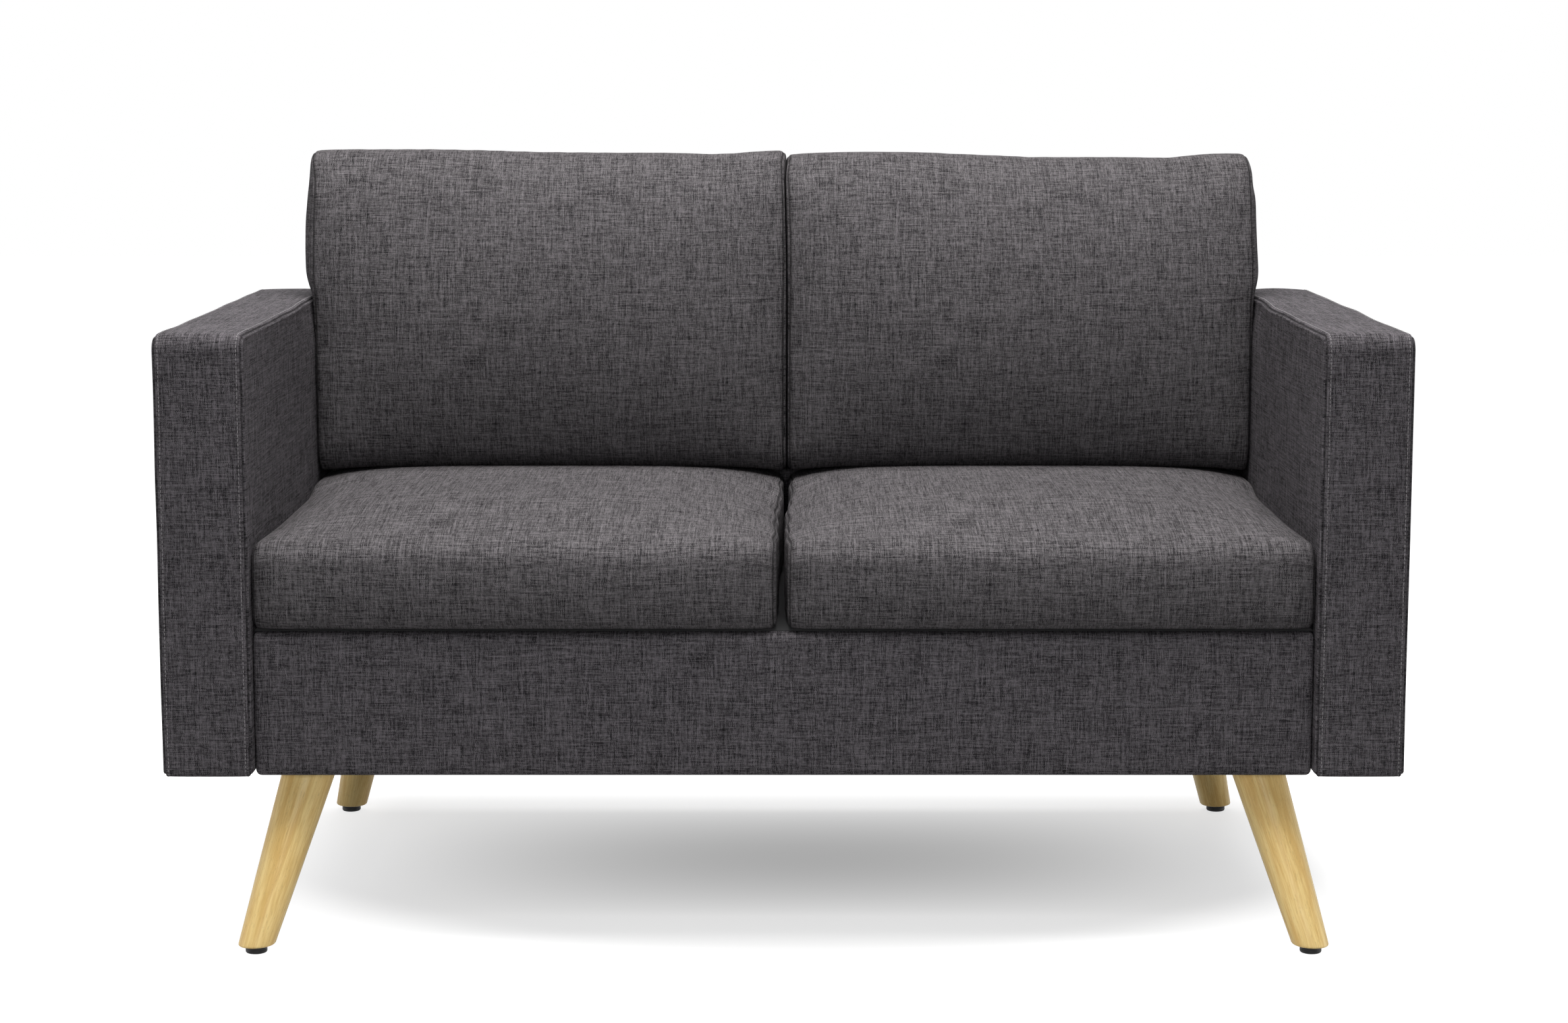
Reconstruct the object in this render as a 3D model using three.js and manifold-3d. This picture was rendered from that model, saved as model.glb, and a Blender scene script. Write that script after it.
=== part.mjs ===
// Two-seat settee with track arms, loose seat and back cushions and splayed wooden legs.
// Millimetres, +X to the right as seen from the front, +Y to the back, +Z up, floor at zero.
import * as THREE from 'three';
import { mergeVertices } from 'three/addons/utils/BufferGeometryUtils.js';
import Module from 'manifold-3d';

const wasm = await Module();
wasm.setup();

// Overall size
const width = 1300;
const depth = 690;
const armTop = 659;
const underside = 194;
const armThickness = 94;
const deckTop = 344.7;
const backTop = 760;

// Fits and general values
const clear = 0.3;
const coverWall = 2;
const overrun = 2;
const sideGap = 1.2;

// Arms
const armFrontRadius = 18;
const armRearRadius = 24;
const armBaseRadius = 7;
const armEdgeSoftness = 5;
const armPadSide = 14;
const armPadTop = 22;
const armPadRear = 8;
const armPost = 40;
const armTopRail = 30;
const armBottomRailHeight = 120;
const armBottomRailThickness = 25;

// Seat base
const railThickness = 25;
const railTop = 335;
const apronSetback = 18;
const apronThickness = 14;
const apronDrop = 2;
const apronEdge = 4;
const apronRadius = 9;
const dustThickness = 1.4;
const battenWidth = 50;
const battenHeight = 45;

// Seat springs
const springCount = 6;
const springWire = 3.8;
const springSwing = 22;
const springPitch = 78;
const springStepsPerWave = 6;
const springSides = 4;
const springSideGap = 100.7;
const springBearing = 12;

// Bolts
const boltRadius = 4;
const boltHeadRadius = 7.5;
const boltHeadHeight = 5.3;
const boltSides = 12;
const boltHeadSides = 6;
const armBoltReach = 42;
const armBoltTopGap = 24;
const armBoltSetback = 180;
const legBoltInLeg = 30;
const legBoltInBatten = 34;

// Legs and glides
const frontFootSideInset = 88;
const rearFootSideInset = 102;
const footInset = 20;
const frontLegLeanX = 56;
const rearLegLeanX = 49;
const legLeanY = 70;
const footRadius = 18.2;
const legTopRadius = 28.2;
const legSides = 28;
const glideHeight = 8;
const glideRadius = 11.5;
const glideEdge = 1.5;
const glideSides = 20;
const glideStemRadius = 3;
const glideStemLength = 14;

// Back frame
const backSetIn = 4;
const backTopThickness = 56;
const backLean = 30;
const backRadius = 12;
const backEdgeSoftness = 5;
const boardThickness = 6;
const backTopRail = 52;

// Cushions
const cushionWall = 4;
const seatFrontSetback = 3;
const seatRearGap = 3;
const seatEdgeTop = 442;
const seatRestRise = 14;
const seatCrown = 21;
const seatFrontBulge = 7;
const seatEdgeRadius = 24;
const seatSideRadius = 12;
const seatDrawIn = 3;
const backCushionTop = 832;
const backCushionLowThickness = 127.6;
const backCushionTopThickness = 116.7;
const backCushionBelly = 20;
const backCushionEdgeRadius = 24;
const backCushionSideRadius = 12;
const backCushionTopDip = 4;
const backCushionDrawIn = 4;
const backCushionGap = 1.5;

// Cushion zips
const zipEndGap = 41.8;
const zipBeadWidth = 3;
const zipBeadHeight = 1.2;
const zipSlit = 0.6;
const sliderLength = 12;
const sliderWidth = 7;
const sliderHeight = 3.5;
const sliderPlate = 2;
const pullLength = 18;
const pullWidth = 5;
const pullThickness = 1.2;

// Sizes that follow
const armInner = width / 2 - armThickness;
const baseHalf = armInner - clear;
const front = -depth / 2;
const rear = depth / 2;
const frameBottom = underside + coverWall + clear;
const apronFront = front + apronSetback;
const railFront = apronFront + apronThickness + clear;
const backOuter = rear - backSetIn;
const backInnerTop = backOuter - backTopThickness;
const backInnerLow = backInnerTop - backLean;
const backCavityRear = backOuter - coverWall;
const rearRailBack = backCavityRear - clear;
const leanPerRise = backLean / (backTop - deckTop);
const postWidth = railThickness;
const postOuter = baseHalf - coverWall - clear;
const sideRailInner = postOuter - postWidth;
const postFrontLow = backInnerLow + coverWall + boardThickness + clear + clear;
const dustTop = frameBottom - clear;
const springSpacing = 2 * (baseHalf - springSideGap) / (springCount - 1);
const seatBottom = deckTop + clear;
const seatRear = backInnerLow - seatRearGap;
const cushionWidth = armInner - sideGap - sideGap;
const zipLength = cushionWidth - 2 * zipEndGap;
const seatRest = seatEdgeTop + seatRestRise;
const backCushionBottom = seatRest + clear;
const quarter = Math.PI / 4;

function backInner(z) {
  return backInnerLow + Math.max(0, z - deckTop) * leanPerRise;
}

const backCushionFrontLow = backInner(backCushionBottom) - backCushionGap - backCushionLowThickness;

// Colours and finishes of each kind of piece
const finishes = {
  fabric: { color: 0x4d494c, roughness: 0.95, metalness: 0 },
  legWood: { color: 0xd0a264, roughness: 0.45, metalness: 0 },
  timber: { color: 0xb9986a, roughness: 0.8, metalness: 0 },
  board: { color: 0x9d7b50, roughness: 0.8, metalness: 0 },
  foam: { color: 0xe6dcb4, roughness: 0.95, metalness: 0 },
  steel: { color: 0x9a9da0, roughness: 0.35, metalness: 0.9 },
  nylon: { color: 0x141414, roughness: 0.5, metalness: 0 },
  lining: { color: 0x1d1c1e, roughness: 0.95, metalness: 0 },
};

// Closed mesh to solid, and back
function solid(geometry) {
  const bare = geometry.clone();
  bare.deleteAttribute('normal');
  bare.deleteAttribute('uv');
  const merged = mergeVertices(bare);
  return new wasm.Manifold(new wasm.Mesh({
    numProp: 3,
    vertProperties: new Float32Array(merged.attributes.position.array),
    triVerts: new Uint32Array(merged.index.array),
  }));
}

function geometryOf(body) {
  const mesh = body.getMesh();
  const geometry = new THREE.BufferGeometry();
  geometry.setAttribute('position', new THREE.BufferAttribute(mesh.vertProperties, mesh.numProp));
  geometry.setIndex(new THREE.BufferAttribute(mesh.triVerts, 1));
  geometry.computeVertexNormals();
  return geometry;
}

function piece(group, name, body, finish) {
  const material = new THREE.MeshStandardMaterial(finishes[finish]);
  const mesh = new THREE.Mesh(geometryOf(body), material);
  mesh.name = name;
  group.add(mesh);
  return mesh;
}

// Block between two corners
function block(x0, x1, y0, y1, z0, z1) {
  const geometry = new THREE.BoxGeometry(x1 - x0, y1 - y0, z1 - z0);
  geometry.translate((x0 + x1) / 2, (y0 + y1) / 2, (z0 + z1) / 2);
  return solid(geometry);
}

// Round bar from one point to another
function bar(radius, from, to, sides) {
  const axis = new THREE.Vector3().subVectors(to, from);
  const geometry = new THREE.CylinderGeometry(radius, radius, axis.length(), sides);
  geometry.applyQuaternion(new THREE.Quaternion().setFromUnitVectors(
    new THREE.Vector3(0, 1, 0), axis.clone().normalize()));
  const middle = from.clone().add(to).divideScalar(2);
  geometry.translate(middle.x, middle.y, middle.z);
  return solid(geometry);
}

// Outline in the YZ plane, run anticlockwise, with each corner rounded by its own radius
function roundedOutline(corners) {
  const shape = new THREE.Shape();
  corners.forEach((corner, i) => {
    const here = new THREE.Vector2(corner.y, corner.z);
    if (corner.radius === 0) {
      if (i === 0) shape.moveTo(here.x, here.y);
      else shape.lineTo(here.x, here.y);
      return;
    }
    const before = corners[(i + corners.length - 1) % corners.length];
    const after = corners[(i + 1) % corners.length];
    const toward = new THREE.Vector2(before.y, before.z).sub(here).normalize();
    const away = new THREE.Vector2(after.y, after.z).sub(here).normalize();
    const halfAngle = Math.acos(toward.dot(away)) / 2;
    const centre = toward.clone().add(away).setLength(corner.radius / Math.sin(halfAngle)).add(here);
    const startAngle = Math.atan2(toward.x, -toward.y);
    const endAngle = Math.atan2(-away.x, away.y);
    if (i === 0) {
      shape.moveTo(centre.x + corner.radius * Math.cos(startAngle),
        centre.y + corner.radius * Math.sin(startAngle));
    }
    shape.absarc(centre.x, centre.y, corner.radius, startAngle, endAngle, false);
  });
  return shape;
}

// YZ outline drawn out along X, its two end faces softened by a bevel
function alongX(shape, x0, x1, softness = 0) {
  const geometry = new THREE.ExtrudeGeometry(shape, {
    depth: x1 - x0 - 2 * softness,
    curveSegments: 2,
    bevelEnabled: softness > 0,
    bevelThickness: softness,
    bevelSize: softness,
    bevelOffset: -softness,
    bevelSegments: 2,
  });
  geometry.applyMatrix4(new THREE.Matrix4().makeBasis(
    new THREE.Vector3(0, 1, 0), new THREE.Vector3(0, 0, 1), new THREE.Vector3(1, 0, 0)));
  geometry.translate(x0 + softness, 0, 0);
  return solid(geometry);
}

// Side view of an arm, drawn in by the same amount all round
function armOutline(inset, base = underside + inset) {
  const soften = (radius) => Math.max(radius - inset, 0);
  return roundedOutline([
    { y: front + inset, z: base, radius: soften(armBaseRadius) },
    { y: rear - inset, z: base, radius: soften(armBaseRadius) },
    { y: rear - inset, z: armTop - inset, radius: soften(armRearRadius) },
    { y: front + inset, z: armTop - inset, radius: soften(armFrontRadius) },
  ]);
}

// Holes for the two bolts that hold an arm to the seat base
function armBoltPlaces(side) {
  const z = frameBottom + armBottomRailHeight - armBoltTopGap;
  const head = side * (sideRailInner - clear);
  return [['front', front + armBoltSetback], ['rear', rear - armBoltSetback]].map(([end, y]) => ({
    end,
    start: new THREE.Vector3(head, y, z),
    tip: new THREE.Vector3(side * (armInner + armBoltReach), y, z),
  }));
}

function drilledForArmBolts(body, side, radius = boltRadius + clear) {
  return armBoltPlaces(side).reduce(
    (left, hole) => left.subtract(bar(radius, hole.start, hole.tip, boltSides)), body);
}

function armBolt(place, side) {
  const inward = new THREE.Vector3(-side * boltHeadHeight, 0, 0);
  const seat = place.start.clone();
  const sink = new THREE.Vector3(side * clear, 0, 0);
  const shank = bar(boltRadius, seat.clone().sub(sink), place.tip.clone().sub(sink), boltSides);
  return bar(boltHeadRadius, seat, seat.clone().add(inward), boltHeadSides).add(shank);
}

// One arm: timber frame, padding and sewn cover, built round the arm's own middle
function makeArm(side, hand) {
  const group = new THREE.Group();
  group.position.x = side * (armInner + armThickness / 2);
  const shift = -group.position.x;
  const half = armThickness / 2;
  const frameHalf = half - coverWall - armPadSide - 2 * clear;
  const frameFront = front + coverWall + armPadSide + 2 * clear;
  const frameRear = rear - coverWall - armPadRear - 2 * clear;
  const frameTop = armTop - coverWall - armPadTop - 2 * clear;
  const postTop = frameTop - armTopRail - clear;
  const inner = side < 0 ? [frameHalf - armBottomRailThickness, frameHalf]
    : [-frameHalf, armBottomRailThickness - frameHalf];
  const drilled = (body) => drilledForArmBolts(body.translate([-shift, 0, 0]), side)
    .translate([shift, 0, 0]);

  const hollow = alongX(armOutline(coverWall), coverWall - half, half - coverWall);
  const cover = alongX(armOutline(0), -half, half, armEdgeSoftness).subtract(hollow);
  piece(group, `arm_cover_${hand}`, drilled(cover), 'fabric');

  const padInset = coverWall + clear;
  const padBody = alongX(armOutline(padInset), padInset - half, half - padInset);
  const room = block(-frameHalf - clear, frameHalf + clear, frameFront - clear, frameRear + clear,
    underside - overrun, frameTop + clear);
  piece(group, `arm_pad_${hand}`, drilled(padBody.subtract(room)), 'foam');

  piece(group, `arm_front_post_${hand}`,
    block(-frameHalf, frameHalf, frameFront, frameFront + armPost, frameBottom, postTop), 'timber');
  piece(group, `arm_rear_post_${hand}`,
    block(-frameHalf, frameHalf, frameRear - armPost, frameRear, frameBottom, postTop), 'timber');
  piece(group, `arm_top_rail_${hand}`,
    block(-frameHalf, frameHalf, frameFront, frameRear, postTop + clear, frameTop), 'timber');
  piece(group, `arm_bottom_rail_${hand}`, drilled(block(inner[0], inner[1],
    frameFront + armPost + clear, frameRear - armPost - clear,
    frameBottom, frameBottom + armBottomRailHeight)), 'timber');
  armBoltPlaces(side).forEach((place) => {
    piece(group, `arm_bolt_${place.end}_${hand}`, armBolt(place, side).translate([shift, 0, 0]), 'steel');
  });
  return group;
}

// Where a leg meets the base, and where it stands
function legPlace(side, end) {
  const footX = width / 2 - (end < 0 ? frontFootSideInset : rearFootSideInset);
  const leanX = end < 0 ? frontLegLeanX : rearLegLeanX;
  const foot = new THREE.Vector3(side * footX, end * (rear - footInset), 0);
  const lean = new THREE.Vector3(-side * leanX, -end * legLeanY, 0);
  return { foot, top: foot.clone().add(lean).setZ(underside) };
}

const legEnds = [
  { side: -1, end: -1, name: 'front_left' },
  { side: 1, end: -1, name: 'front_right' },
  { side: -1, end: 1, name: 'rear_left' },
  { side: 1, end: 1, name: 'rear_right' },
];

function drilledForLegBolts(body) {
  return legEnds.reduce((left, leg) => {
    const { top } = legPlace(leg.side, leg.end);
    const hole = bar(boltRadius + clear, top.clone().setZ(underside - overrun),
      top.clone().setZ(frameBottom + legBoltInBatten + clear), boltSides);
    return left.subtract(hole);
  }, body);
}

// One leg with its bolt and glide, built round the point where it stands
function makeLeg({ side, end, name }) {
  const { foot, top } = legPlace(side, end);
  const group = new THREE.Group();
  group.position.copy(foot);
  const head = top.clone().sub(foot);
  const topCut = dustTop - dustThickness - clear;
  const axis = head.clone().setZ(topCut);
  const length = axis.length();
  const along = axis.clone().normalize();
  const perLength = (legTopRadius - footRadius) / length;
  const spare = legTopRadius;
  const profile = [
    new THREE.Vector2(0, -spare),
    new THREE.Vector2(footRadius - spare * perLength, -spare),
    new THREE.Vector2(legTopRadius + spare * perLength, length + spare),
    new THREE.Vector2(0, length + spare),
  ];
  const turned = new THREE.LatheGeometry(profile, legSides);
  turned.applyQuaternion(new THREE.Quaternion().setFromUnitVectors(new THREE.Vector3(0, 1, 0), along));
  const reach = 2 * length;
  const footCut = glideHeight + clear;
  const slab = block(-reach, reach, -reach, reach, footCut, topCut);
  const boltHole = bar(boltRadius + clear, axis.clone().setZ(topCut - legBoltInLeg - clear),
    axis.clone().setZ(topCut + overrun), boltSides);
  const lift = along.clone().multiplyScalar(footCut / along.z).setZ(0);
  const stemHole = bar(glideStemRadius + clear, lift.clone().setZ(footCut - overrun),
    lift.clone().setZ(footCut + glideStemLength + clear), boltSides);
  const leg = solid(turned).intersect(slab).subtract(boltHole).subtract(stemHole);
  piece(group, `leg_${name}`, leg, 'legWood');

  const bolt = bar(boltRadius, axis.clone().setZ(topCut - legBoltInLeg),
    axis.clone().setZ(frameBottom + legBoltInBatten), boltSides);
  piece(group, `leg_bolt_${name}`, bolt, 'steel');

  const glide = new THREE.LatheGeometry([
    new THREE.Vector2(0, 0),
    new THREE.Vector2(glideRadius - glideEdge, 0),
    new THREE.Vector2(glideRadius, glideEdge),
    new THREE.Vector2(glideRadius, glideHeight),
    new THREE.Vector2(glideStemRadius, glideHeight),
    new THREE.Vector2(glideStemRadius, footCut + glideStemLength),
    new THREE.Vector2(0, footCut + glideStemLength),
  ], glideSides);
  glide.rotateX(Math.PI / 2);
  glide.translate(lift.x, lift.y, 0);
  piece(group, `glide_${name}`, solid(glide), 'nylon');
  return group;
}

// Sinuous wire spring that runs from the front rail to the rear rail
function springWireBody(x) {
  const start = railFront + springBearing;
  const stop = rearRailBack - springBearing;
  const waves = Math.round((stop - start) / springPitch);
  const z = railTop + clear + springWire / 2;
  const steps = waves * springStepsPerWave;
  const points = Array.from({ length: steps + 1 }, (_, i) => {
    const share = i / steps;
    const swing = springSwing * Math.sin(2 * Math.PI * waves * share);
    return new THREE.Vector3(x + swing, start + (stop - start) * share, z);
  });
  const section = new THREE.Shape();
  for (let i = 0; i < springSides; i += 1) {
    const angle = 2 * Math.PI * (i + 1 / 2) / springSides;
    const radius = springWire / 2;
    if (i === 0) section.moveTo(radius * Math.cos(angle), radius * Math.sin(angle));
    else section.lineTo(radius * Math.cos(angle), radius * Math.sin(angle));
  }
  return solid(new THREE.ExtrudeGeometry(section, {
    steps, bevelEnabled: false, extrudePath: new THREE.CatmullRomCurve3(points),
  }));
}

// Seat base: rails, leg battens, springs, deck, apron and dust cover
function makeBase() {
  const group = new THREE.Group();
  const sideFront = railFront + railThickness + clear;
  const rearRailFront = rearRailBack - railThickness;
  piece(group, 'front_rail',
    block(-baseHalf, baseHalf, railFront, railFront + railThickness, frameBottom, railTop), 'timber');
  piece(group, 'rear_rail', block(postWidth - postOuter + clear, postOuter - postWidth - clear,
    rearRailFront, rearRailBack, frameBottom, railTop), 'timber');
  [[-1, 'left'], [1, 'right']].forEach(([side, hand]) => {
    const across = (a, b) => (side < 0 ? [-b, -a] : [a, b]);
    const railX = across(sideRailInner, baseHalf);
    const rail = block(railX[0], railX[1], sideFront, postFrontLow - clear, frameBottom, railTop);
    piece(group, `side_rail_${hand}`, drilledForArmBolts(rail, side), 'timber');
    const battenOuter = sideRailInner - clear;
    const battenX = across(battenOuter - battenWidth, battenOuter);
    const batten = block(battenX[0], battenX[1], sideFront, rearRailFront - clear,
      frameBottom, frameBottom + battenHeight);
    piece(group, `leg_batten_${hand}`, drilledForLegBolts(batten), 'timber');
  });
  for (let i = 0; i < springCount; i += 1) {
    const x = springSpacing * (i - (springCount - 1) / 2);
    piece(group, `seat_spring_${i + 1}`, springWireBody(x), 'steel');
  }
  const deckBottom = railTop + clear + springWire + clear;
  piece(group, 'deck_cloth',
    block(-baseHalf, baseHalf, railFront, postFrontLow - clear, deckBottom, deckTop), 'lining');
  const apron = roundedOutline([
    { y: apronFront, z: underside - apronDrop, radius: apronRadius },
    { y: apronFront + apronThickness, z: underside - apronDrop, radius: 0 },
    { y: apronFront + apronThickness, z: deckTop, radius: 0 },
    { y: apronFront, z: deckTop, radius: apronRadius },
  ]);
  piece(group, 'apron_panel', alongX(apron, -baseHalf, baseHalf, apronEdge), 'fabric');
  const dust = block(-baseHalf, baseHalf, railFront, rearRailBack, dustTop - dustThickness, dustTop);
  piece(group, 'dust_cover', drilledForLegBolts(dust), 'lining');
  return group;
}

// Back: two posts, top rail, board and the cover that hangs down behind the base
function makeBack() {
  const group = new THREE.Group();
  const cavityTop = backTop - coverWall;
  const frameTop = cavityTop - clear;
  const line = (inset, z) => backInner(z) + inset;
  const slope = (inset, low, high, outer) => roundedOutline([
    { y: line(inset, low), z: low, radius: 0 },
    { y: outer(low), z: low, radius: 0 },
    { y: outer(high), z: high, radius: 0 },
    { y: line(inset, high), z: high, radius: 0 },
  ]);
  const toRear = () => rearRailBack;
  const outer = roundedOutline([
    { y: backInnerLow, z: seatBottom, radius: 0 },
    { y: backOuter, z: seatBottom, radius: 0 },
    { y: backOuter, z: backTop, radius: backRadius },
    { y: backInnerTop, z: backTop, radius: backRadius },
  ]);
  const cavity = slope(coverWall, seatBottom - overrun, cavityTop, () => backCavityRear);
  const flap = block(backEdgeSoftness - baseHalf, baseHalf - backEdgeSoftness,
    backCavityRear, backOuter, underside, seatBottom + overrun);
  const cover = alongX(outer, -baseHalf, baseHalf, backEdgeSoftness).add(flap)
    .subtract(alongX(cavity, coverWall - baseHalf, baseHalf - coverWall));
  piece(group, 'back_cover', cover, 'fabric');

  const boardInset = coverWall + clear;
  const boardLow = seatBottom + clear;
  const board = slope(boardInset, boardLow, frameTop, (z) => line(boardInset + boardThickness, z));
  piece(group, 'back_board', alongX(board, -postOuter, postOuter), 'board');

  const postInset = boardInset + boardThickness + clear;
  const upper = slope(postInset, deckTop, frameTop, toRear);
  [[-1, 'left'], [1, 'right']].forEach(([side, hand]) => {
    const x0 = side < 0 ? -postOuter : postOuter - postWidth;
    const foot = block(x0, x0 + postWidth, postFrontLow, rearRailBack, frameBottom, deckTop + clear);
    piece(group, `back_post_${hand}`, alongX(upper, x0, x0 + postWidth).add(foot), 'timber');
  });
  const rail = slope(postInset, frameTop - backTopRail, frameTop, toRear);
  const railHalf = postOuter - postWidth - clear;
  piece(group, 'back_top_rail', alongX(rail, -railHalf, railHalf), 'timber');
  return group;
}

// Marks along one side of a cushion: two in each rounded edge, the rest evenly between
function stations(half, radius, count, fine) {
  const edgeShares = fine ? [1, Math.tan(quarter / 2), 0] : [1, 0];
  const inner = half - radius;
  const low = edgeShares.map((share) => -inner - radius * share);
  const high = edgeShares.map((share) => inner + radius * share).reverse();
  const middle = Array.from({ length: count - 1 }, (_, i) => inner * (2 * (i + 1) / count - 1));
  return [...low, ...middle, ...high];
}

// Closed box of quads with rounded edges, each point then moved by the cushion's own shape
function cushionForm(half, radius, counts, fine, shape) {
  const axes = ['x', 'y', 'z'];
  const marks = axes.map((axis) => stations(half[axis], radius[axis], counts[axis], fine));
  const limit = axes.map((axis) => half[axis] - radius[axis]);
  const round = new THREE.Vector3(radius.x, radius.y, radius.z);
  const place = (p) => {
    const core = p.map((value, i) => Math.min(Math.max(value, -limit[i]), limit[i]));
    const out = new THREE.Vector3(...p.map((value, i) => value - core[i]));
    return shape(out.divide(round).normalize().multiply(round).add(new THREE.Vector3(...core)));
  };
  const positions = [];
  const quad = (corners) => {
    const [a, b, c, d] = corners.map(place);
    [a, b, c, a, c, d].forEach((p) => positions.push(p.x, p.y, p.z));
  };
  [0, 1, 2].forEach((axis) => {
    const u = (axis + 1) % 3;
    const v = (axis + 2) % 3;
    [-1, 1].forEach((sign) => {
      for (let i = 0; i < marks[u].length - 1; i += 1) {
        for (let j = 0; j < marks[v].length - 1; j += 1) {
          const corner = (iu, iv) => {
            const p = [0, 0, 0];
            p[axis] = sign * half[axes[axis]];
            p[u] = marks[u][iu];
            p[v] = marks[v][iv];
            return p;
          };
          const ring = [corner(i, j), corner(i + 1, j), corner(i + 1, j + 1), corner(i, j + 1)];
          quad(sign > 0 ? ring : ring.reverse());
        }
      }
    });
  });
  const geometry = new THREE.BufferGeometry();
  geometry.setAttribute('position', new THREE.Float32BufferAttribute(positions, 3));
  return solid(geometry);
}

// Zip along the lower rear edge of a cushion: a bead with a slit, and the slider that rides on it
function zipFrame(edge, body) {
  const turn = new THREE.Matrix4().makeBasis(
    new THREE.Vector3(1, 0, 0),
    new THREE.Vector3(0, Math.sin(quarter), Math.cos(quarter)),
    new THREE.Vector3(0, -Math.cos(quarter), Math.sin(quarter)),
  ).setPosition(edge);
  return body.transform(turn.elements);
}

function withZip(cover, edge) {
  const bead = block(-zipLength / 2 - zipBeadWidth, zipLength / 2 + zipBeadWidth,
    -zipBeadWidth / 2, zipBeadWidth / 2, -zipBeadHeight, cushionWall / 2);
  const slit = block(-zipLength / 2, zipLength / 2, -zipSlit / 2, zipSlit / 2,
    -zipBeadHeight - overrun, cushionWall + overrun);
  return cover.add(zipFrame(edge, bead)).subtract(zipFrame(edge, slit));
}

function zipSlider(edge) {
  const start = zipLength / 2 - sliderLength;
  const body = block(start, start + sliderLength, -sliderWidth / 2, sliderWidth / 2, -sliderHeight, -clear);
  const channel = block(start - overrun, start + sliderLength + overrun,
    -zipBeadWidth / 2 - clear, zipBeadWidth / 2 + clear, sliderPlate - sliderHeight, overrun);
  const pull = block(start - pullLength, start + sliderLength / 2, -pullWidth / 2, pullWidth / 2,
    -sliderHeight - pullThickness / 2, pullThickness / 2 - sliderHeight);
  return zipFrame(edge, body.subtract(channel).add(pull));
}

// One cushion in its own group: sewn cover, foam core and zip slider
function makeCushion(name, hand, x, plan) {
  const group = new THREE.Group();
  group.position.set(x, plan.centre.y, plan.centre.z);
  const form = (inset, fine, counts) => cushionForm({
    x: plan.half.x - inset,
    y: plan.half.y - inset,
    z: plan.half.z - inset,
  }, {
    x: plan.radius.x - inset / 2,
    y: plan.radius.y - inset / 2,
    z: plan.radius.z - inset / 2,
  }, counts, fine, plan.shape);
  const outer = form(0, true, plan.outerCounts);
  const hollow = form(cushionWall, false, plan.innerCounts);
  const edgeSink = plan.radius.z * (1 - Math.cos(quarter));
  const edge = plan.shape(new THREE.Vector3(0, plan.half.y - edgeSink, edgeSink - plan.half.z));
  piece(group, `${name}_cover_${hand}`, withZip(outer.subtract(hollow), edge), 'fabric');
  piece(group, `${name}_core_${hand}`, form(cushionWall + clear, false, plan.innerCounts), 'foam');
  piece(group, `${name}_zip_slider_${hand}`, zipSlider(edge), 'steel');
  return group;
}

function smooth(value) {
  const share = Math.min(Math.max(value, 0), 1);
  return share * share * (3 - 2 * share);
}

// Seat cushion: crowned in front, pressed flat where the back cushion stands on it
const crownRiseShare = 2 / 3;
const pressedBlendShare = 1 / 4;
const bulgeStartShare = 1 / 2;

function seatPlan() {
  const half = {
    x: cushionWidth / 2,
    y: (seatRear - front - seatFrontSetback - seatFrontBulge) / 2,
    z: (seatEdgeTop - seatBottom) / 2,
  };
  const centre = { y: seatRear - half.y, z: seatBottom + half.z };
  const flatFrom = backCushionFrontLow - backCushionBelly - centre.y;
  const blend = half.y * pressedBlendShare;
  return {
    half,
    centre,
    radius: { x: seatSideRadius, y: seatEdgeRadius, z: seatEdgeRadius },
    outerCounts: { x: 8, y: 9, z: 2 },
    innerCounts: { x: 4, y: 5, z: 1 },
    shape: (p) => {
      const u = p.x / half.x;
      const v = p.y / half.y;
      const w = p.z / half.z;
      const upper = smooth((w + 1) / 2);
      const across = 1 - Math.abs(u) ** 3;
      const rise = seatCrown * across * smooth((v + 1) / crownRiseShare);
      const pressed = smooth((p.y - flatFrom + blend) / blend);
      const forward = smooth((-v - bulgeStartShare) / (1 - bulgeStartShare));
      const bulge = seatFrontBulge * (1 - u * u) * (1 - w * w) * forward;
      const drawn = seatDrawIn * (1 - v * v) * Math.sign(u) * smooth(Math.abs(u)) * (1 - w * w);
      return new THREE.Vector3(p.x - drawn, p.y - bulge,
        p.z + upper * (rise * (1 - pressed) + seatRestRise * pressed));
    },
  };
}

// Back cushion: full in the middle, leaning on the back, a little hollow along its top edge
function backPlan() {
  const taper = backCushionTopThickness - backCushionLowThickness;
  const half = {
    x: cushionWidth / 2,
    y: (backCushionTopThickness + backCushionLowThickness) / 4,
    z: (backCushionTop - backCushionBottom) / 2,
  };
  const centre = { y: 0, z: backCushionBottom + half.z };
  return {
    half,
    centre,
    radius: { x: backCushionSideRadius, y: backCushionEdgeRadius, z: backCushionEdgeRadius },
    outerCounts: { x: 8, y: 3, z: 6 },
    innerCounts: { x: 4, y: 2, z: 4 },
    shape: (p) => {
      const u = p.x / half.x;
      const v = p.y / half.y;
      const w = p.z / half.z;
      const full = (1 - u * u) * (1 - w * w);
      const thickness = backCushionLowThickness + taper * (w + 1) / 2 + backCushionBelly * full;
      const y = backInner(p.z + centre.z) - backCushionGap - thickness * (1 - v) / 2;
      const drawn = backCushionDrawIn * (1 - w * w) * Math.sign(u) * smooth(Math.abs(u)) * (1 - v * v);
      const dip = backCushionTopDip * (1 - u * u) * smooth(w);
      return new THREE.Vector3(p.x - drawn, y, p.z - dip);
    },
  };
}

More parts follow.
